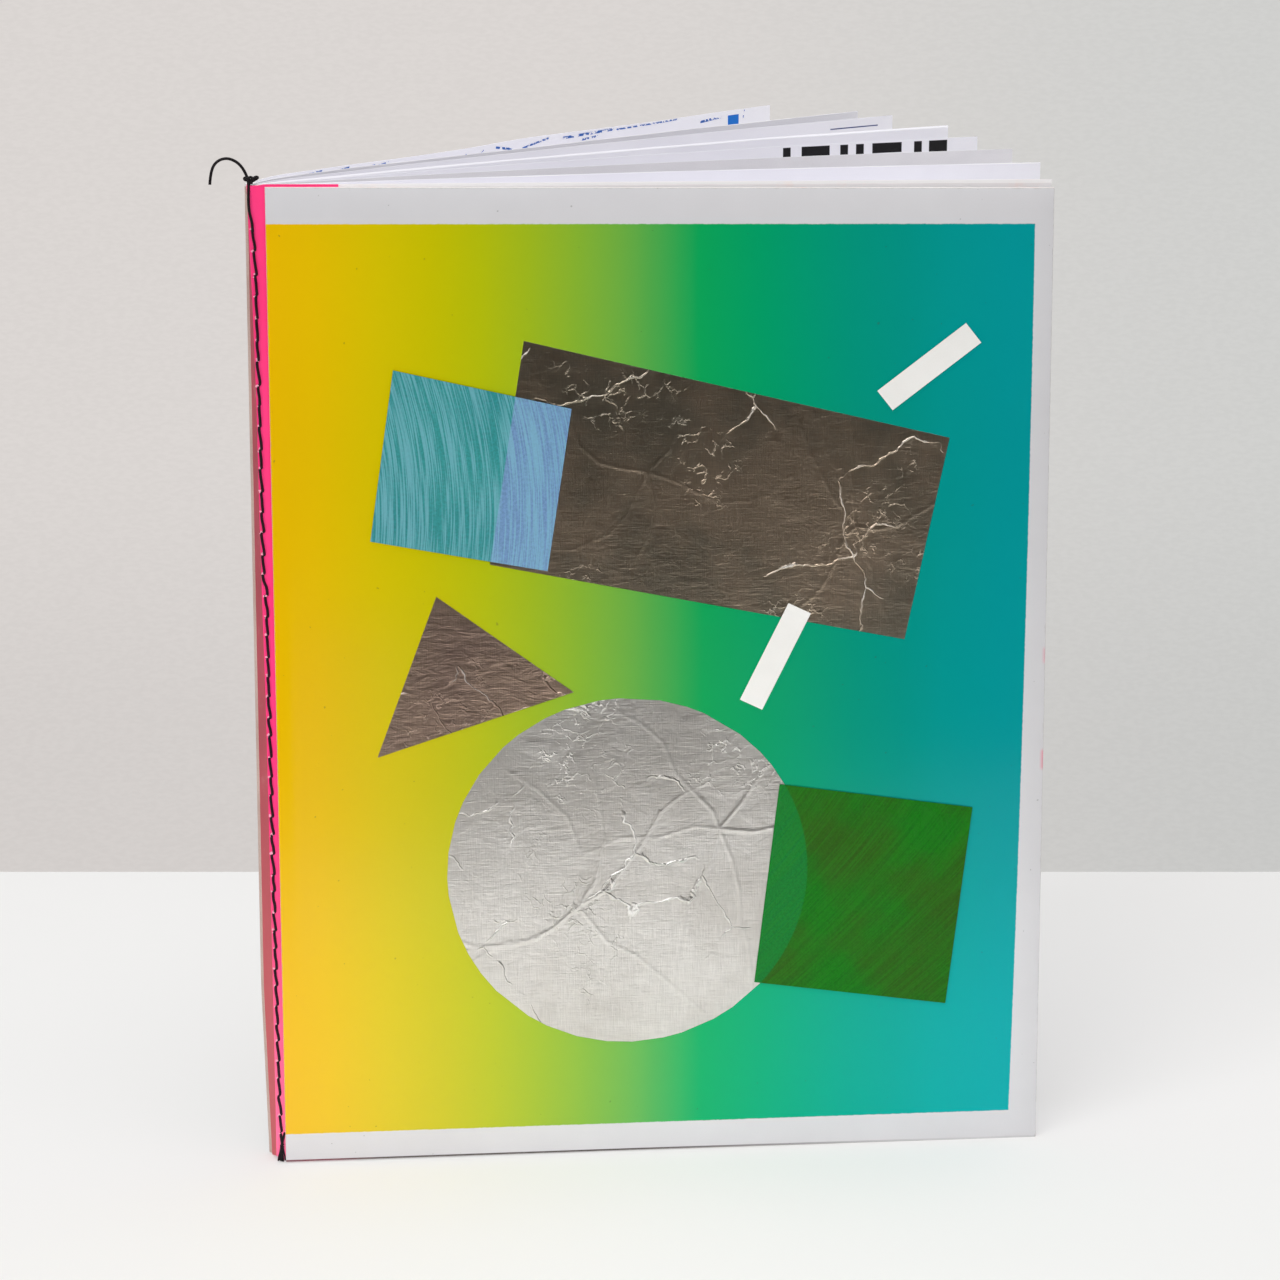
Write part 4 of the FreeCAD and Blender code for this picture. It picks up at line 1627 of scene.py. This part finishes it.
@dataclass(frozen=True)
class GluedPieces:
    """The cut pieces on the front cover, in plain shapes."""

    sizes: Sizes
    lie: Lie
    disc_centre: Point = (98 * MM, 84 * MM)
    disc_radius: float = 51 * MM
    drape: float = 0.6

    def pieces(self) -> list[CutPiece]:
        """Every piece, from the lowest up."""
        foil = partial(Foil, metallic=1.0, bump_depth=0.0005)
        cut = Paper("cut foil edge", 0.5, colour=srgb(226, 224, 222), shade=srgb(196, 192, 188))
        tape_edge = Paper("tape edge", 0.8, colour=srgb(238, 237, 234), shade=srgb(222, 220, 216))
        film_edge = Paper("film edge", 0.4, colour=srgb(20, 100, 70), shade=srgb(16, 80, 60))
        tape = Paper("paper tape", 0.7, colour=srgb(242, 241, 238), shade=srgb(234, 233, 229))
        bright = foil("bright foil", 0.34, bump=0.55, colour=srgb(240, 237, 233),
                      shade=srgb(226, 222, 217), seed=0.3, spark=0.7, linen=0.07, crinkle=0.22)
        dark = foil("dark foil", 0.33, bump=0.55, colour=srgb(218, 196, 172), shade=srgb(176, 166, 148),
                    seed=1.7, spark=0.6)
        brown = foil("brown foil", 0.38, bump=0.7, colour=srgb(196, 170, 153),
                     shade=srgb(178, 153, 140), seed=2.9, spark=0.5, crinkle=0.9)
        green = Film("green film", 0.3, 0.2, bump=0.6, bump_depth=0.0004, tint=srgb(20, 190, 20),
                     body=srgb(0, 112, 0), deep=srgb(44, 88, 0), over=srgb(0, 122, 44), strength=0.88,
                     streaks=0.28, streak=srgb(30, 138, 10),
                     cover_disc=(*self.disc_centre, self.disc_radius))
        blue = Film("blue film", 0.34, 0.4, bump=0.3, bump_depth=0.0003, tint=srgb(90, 165, 235),
                    body=srgb(46, 156, 162), deep=srgb(34, 146, 156), over=srgb(112, 150, 196),
                    strength=0.86, streaks=0.55, cover_edge=millimetres((60, 174), (70, 237)))
        disc = scissored(self.disc_centre, self.disc_radius, 40, 3)
        return [
            CutPiece("foil_disc", "bright_foil", "bright_foil", disc, 0, bright, cut, 0.46 * MM,
                     Creases(millimetres((84, 74), (124, 96)), 6, 52 * MM, 5)),
            CutPiece("foil_panel", "dark_foil", "dark_foil",
                     millimetres((60, 174), (176, 151), (188, 209), (70, 237)), 0, dark, cut, 0.46 * MM,
                     Creases(millimetres((104, 200), (162, 184)), 5, 46 * MM, 9)),
            CutPiece("foil_triangle", "small_foil", "brown_foil",
                     millimetres((28, 119), (83, 137), (45, 165)), 1, brown, cut, 0.9 * MM,
                     Creases(millimetres((52, 140)), 5, 22 * MM, 21, 0.16 * MM)),
            CutPiece("green_film_patch", "green_film", "green_film",
                     millimetres((134, 50), (189, 42), (196, 101), (141, 109)), 2, green, film_edge),
            CutPiece("blue_film_patch", "blue_film", "blue_film",
                     millimetres((27, 181), (76, 172), (83, 218), (34, 229)), 2, blue, film_edge),
            CutPiece("tape_upper", "upper_tape", "paper_tape", turned_tape((172.0, 217.0), 38.0), 1, tape,
                     tape_edge, 1.5 * MM),
            CutPiece("tape_lower", "lower_tape", "paper_tape", turned_tape((136.0, 131.0), 64.0), 1, tape,
                     tape_edge, 1.5 * MM),
        ]

    def build(self) -> None:
        """Makes the pieces, with each film draped over the creases of the foil under it."""
        pieces = self.pieces()
        disc, panel = pieces[0].relief(), pieces[1].relief()

        def draped(x: float, z: float) -> float:
            """How high the foils' creases push what lies over them."""
            return max(disc(x, z), panel(x, z)) * self.drape

        for piece in pieces:
            piece.build(self.sizes, self.lie, draped if piece.level else None)


# ------------------------------------------------------------------------------------------- studio


@dataclass(frozen=True)
class Studio:
    """A pale table top, a pale wall beyond it, soft lamps and the camera."""

    view: Point = (-4.65, 14.45)
    camera_place: Triple = (-1.45 * MM, -1294.07 * MM, 485.5 * MM)
    lens: float = 135.0
    table_back: float = 0.277
    table_front: float = -0.3
    table_half: float = 1.4
    wall: tuple = srgb(219, 214, 211)
    far_wall: tuple = srgb(208, 208, 206)
    room: tuple = srgb(48, 44, 40)
    floor: tuple = srgb(240, 239, 238)
    floor_seen: tuple = srgb(243, 243, 242)
    even: float = 0.43
    daylight: tuple = (1.0, 0.99, 0.98, 1.0)
    daylight_power: float = 0.42
    lamp_aim: Triple = (0.1, 0.05, 0.13)

    def camera(self) -> None:
        """Makes the camera and the scene's choice of it."""
        data = bpy.data.cameras.new("camera")
        data.lens = self.lens
        data.sensor_width = 36.0
        piece = shown("camera", data)
        piece.location = self.camera_place
        piece.rotation_euler = (math.radians(90.0 - self.view[1]), 0.0, math.radians(self.view[0]))
        bpy.context.scene.camera = piece

    def table(self) -> None:
        """Makes the table top, square to the camera."""
        made = bmesh.new()
        bmesh.ops.create_grid(made, x_segments=1, y_segments=1, size=0.5)
        depth = self.table_back - self.table_front
        bmesh.ops.scale(made, verts=made.verts, vec=(2 * self.table_half, depth, 1.0))
        middle = (self.table_back + self.table_front) / 2
        bmesh.ops.translate(made, verts=made.verts, vec=(0.0, middle, 0.0))
        bmesh.ops.rotate(made, verts=made.verts, cent=(0.0, 0.0, 0.0),
                         matrix=Matrix.Rotation(math.radians(self.view[0]), 3, "Z"))
        mesh = baked("table", made)
        piece = shown("table", mesh)
        paint = bpy.data.materials.new("table top")
        paint.use_nodes = True
        wiring = Wiring(paint.node_tree)
        shader = paint.node_tree.nodes["Principled BSDF"]
        wiring.feed(shader, {"Base Color": self.floor, "Roughness": 0.7, "Specular IOR Level": 0.2})
        seen = wiring.times(wiring.add("LightPath").outputs["Is Camera Ray"], self.even)
        plain = wiring.add("Emission", {0: self.floor_seen, 1: 1.0})
        both = wiring.add("MixShader", {0: seen, 1: shader.outputs[0], 2: plain.outputs[0]})
        wiring.feed(paint.node_tree.nodes["Material Output"], {0: both.outputs[0]})
        mesh.materials.append(paint)

    def lamp(self, name: str, place: Triple, size: float, power: float) -> Piece:
        """Makes a soft square lamp that faces the zine.

        Args:
            name: its name.
            place: where it hangs.
            size: the length of its side.
            power: its power in watts.

        Returns:
            The lamp.
        """
        data = bpy.data.lights.new(name, "AREA")
        data.size = size
        data.energy = power
        piece = shown(name, data)
        piece.location = place
        aim = Vector(self.lamp_aim) - Vector(place)
        piece.rotation_euler = aim.to_track_quat("-Z", "Y").to_euler()
        piece.visible_camera = False
        return piece

    def world(self) -> None:
        """Makes the surroundings: the wall for the eye and in metal, and an even light on the rest."""
        world = bpy.data.worlds.new("room")
        bpy.context.scene.world = world
        world.use_nodes = True
        wiring = Wiring(world.node_tree)
        light = world.node_tree.nodes["Background"]
        wiring.feed(light, {0: self.daylight, 1: self.daylight_power})
        aim = wiring.add("TexCoord").outputs["Generated"]
        heading = wiring.apart(aim)
        wall = wiring.mix(wiring.span(heading[0], 0.045, 0.215), self.wall, self.far_wall)
        wall = wiring.mix(1.0, wall, wiring.span(heading[2], -0.275, -0.205, 0.926, 1.0), "MULTIPLY")
        plaster = wiring.noise(wiring.stretched(aim, (1.0, 1.0, 2.5)), 620.0, 2.0)
        wall = wiring.mix(1.0, wall, wiring.span(plaster, 0.3, 0.7, 0.983, 1.017), "MULTIPLY")
        behind = wiring.span(heading[1], -0.25, 0.35)
        mirrored = wiring.mix(behind, self.room, self.wall)
        path = wiring.add("LightPath").outputs
        glossy = wiring.math("MAXIMUM", path["Is Glossy Ray"], path["Is Transmission Ray"])
        seen = wiring.math("MAXIMUM", path["Is Camera Ray"], glossy)
        plain = wiring.add("Background", {0: wiring.mix(glossy, wall, mirrored), 1: 1.0})
        both = wiring.add("MixShader", {0: seen, 1: light.outputs[0], 2: plain.outputs[0]})
        wiring.feed(world.node_tree.nodes["World Output"], {0: both.outputs[0]})

    def build(self) -> None:
        """Makes the whole studio."""
        bpy.context.scene.view_settings.view_transform = "Standard"
        self.camera()
        self.table()
        self.world()
        self.lamp("key lamp", (-1.7, -2.6, 3.1), 2.6, 70.5)
        self.lamp("top lamp", (0.2, -0.5, 3.9), 2.6, 67.0)
        self.lamp("low fill", (0.085, -0.24, -0.01), 0.2, 0.465).visible_glossy = False


def main() -> None:
    """Builds the studio and every piece of the zine in order."""
    logging.basicConfig(level=logging.INFO, format="%(message)s")
    sizes = Sizes()
    lie = Lie(sizes)
    Studio().build()
    Sewing(sizes).build()
    covers = Covers(sizes, lie)
    covers.front()
    covers.back()
    Leaves(sizes, lie).build()
    SpineStrip(sizes, lie).build()
    GluedPieces(sizes, lie).build()


if __name__ == "__main__":
    main()
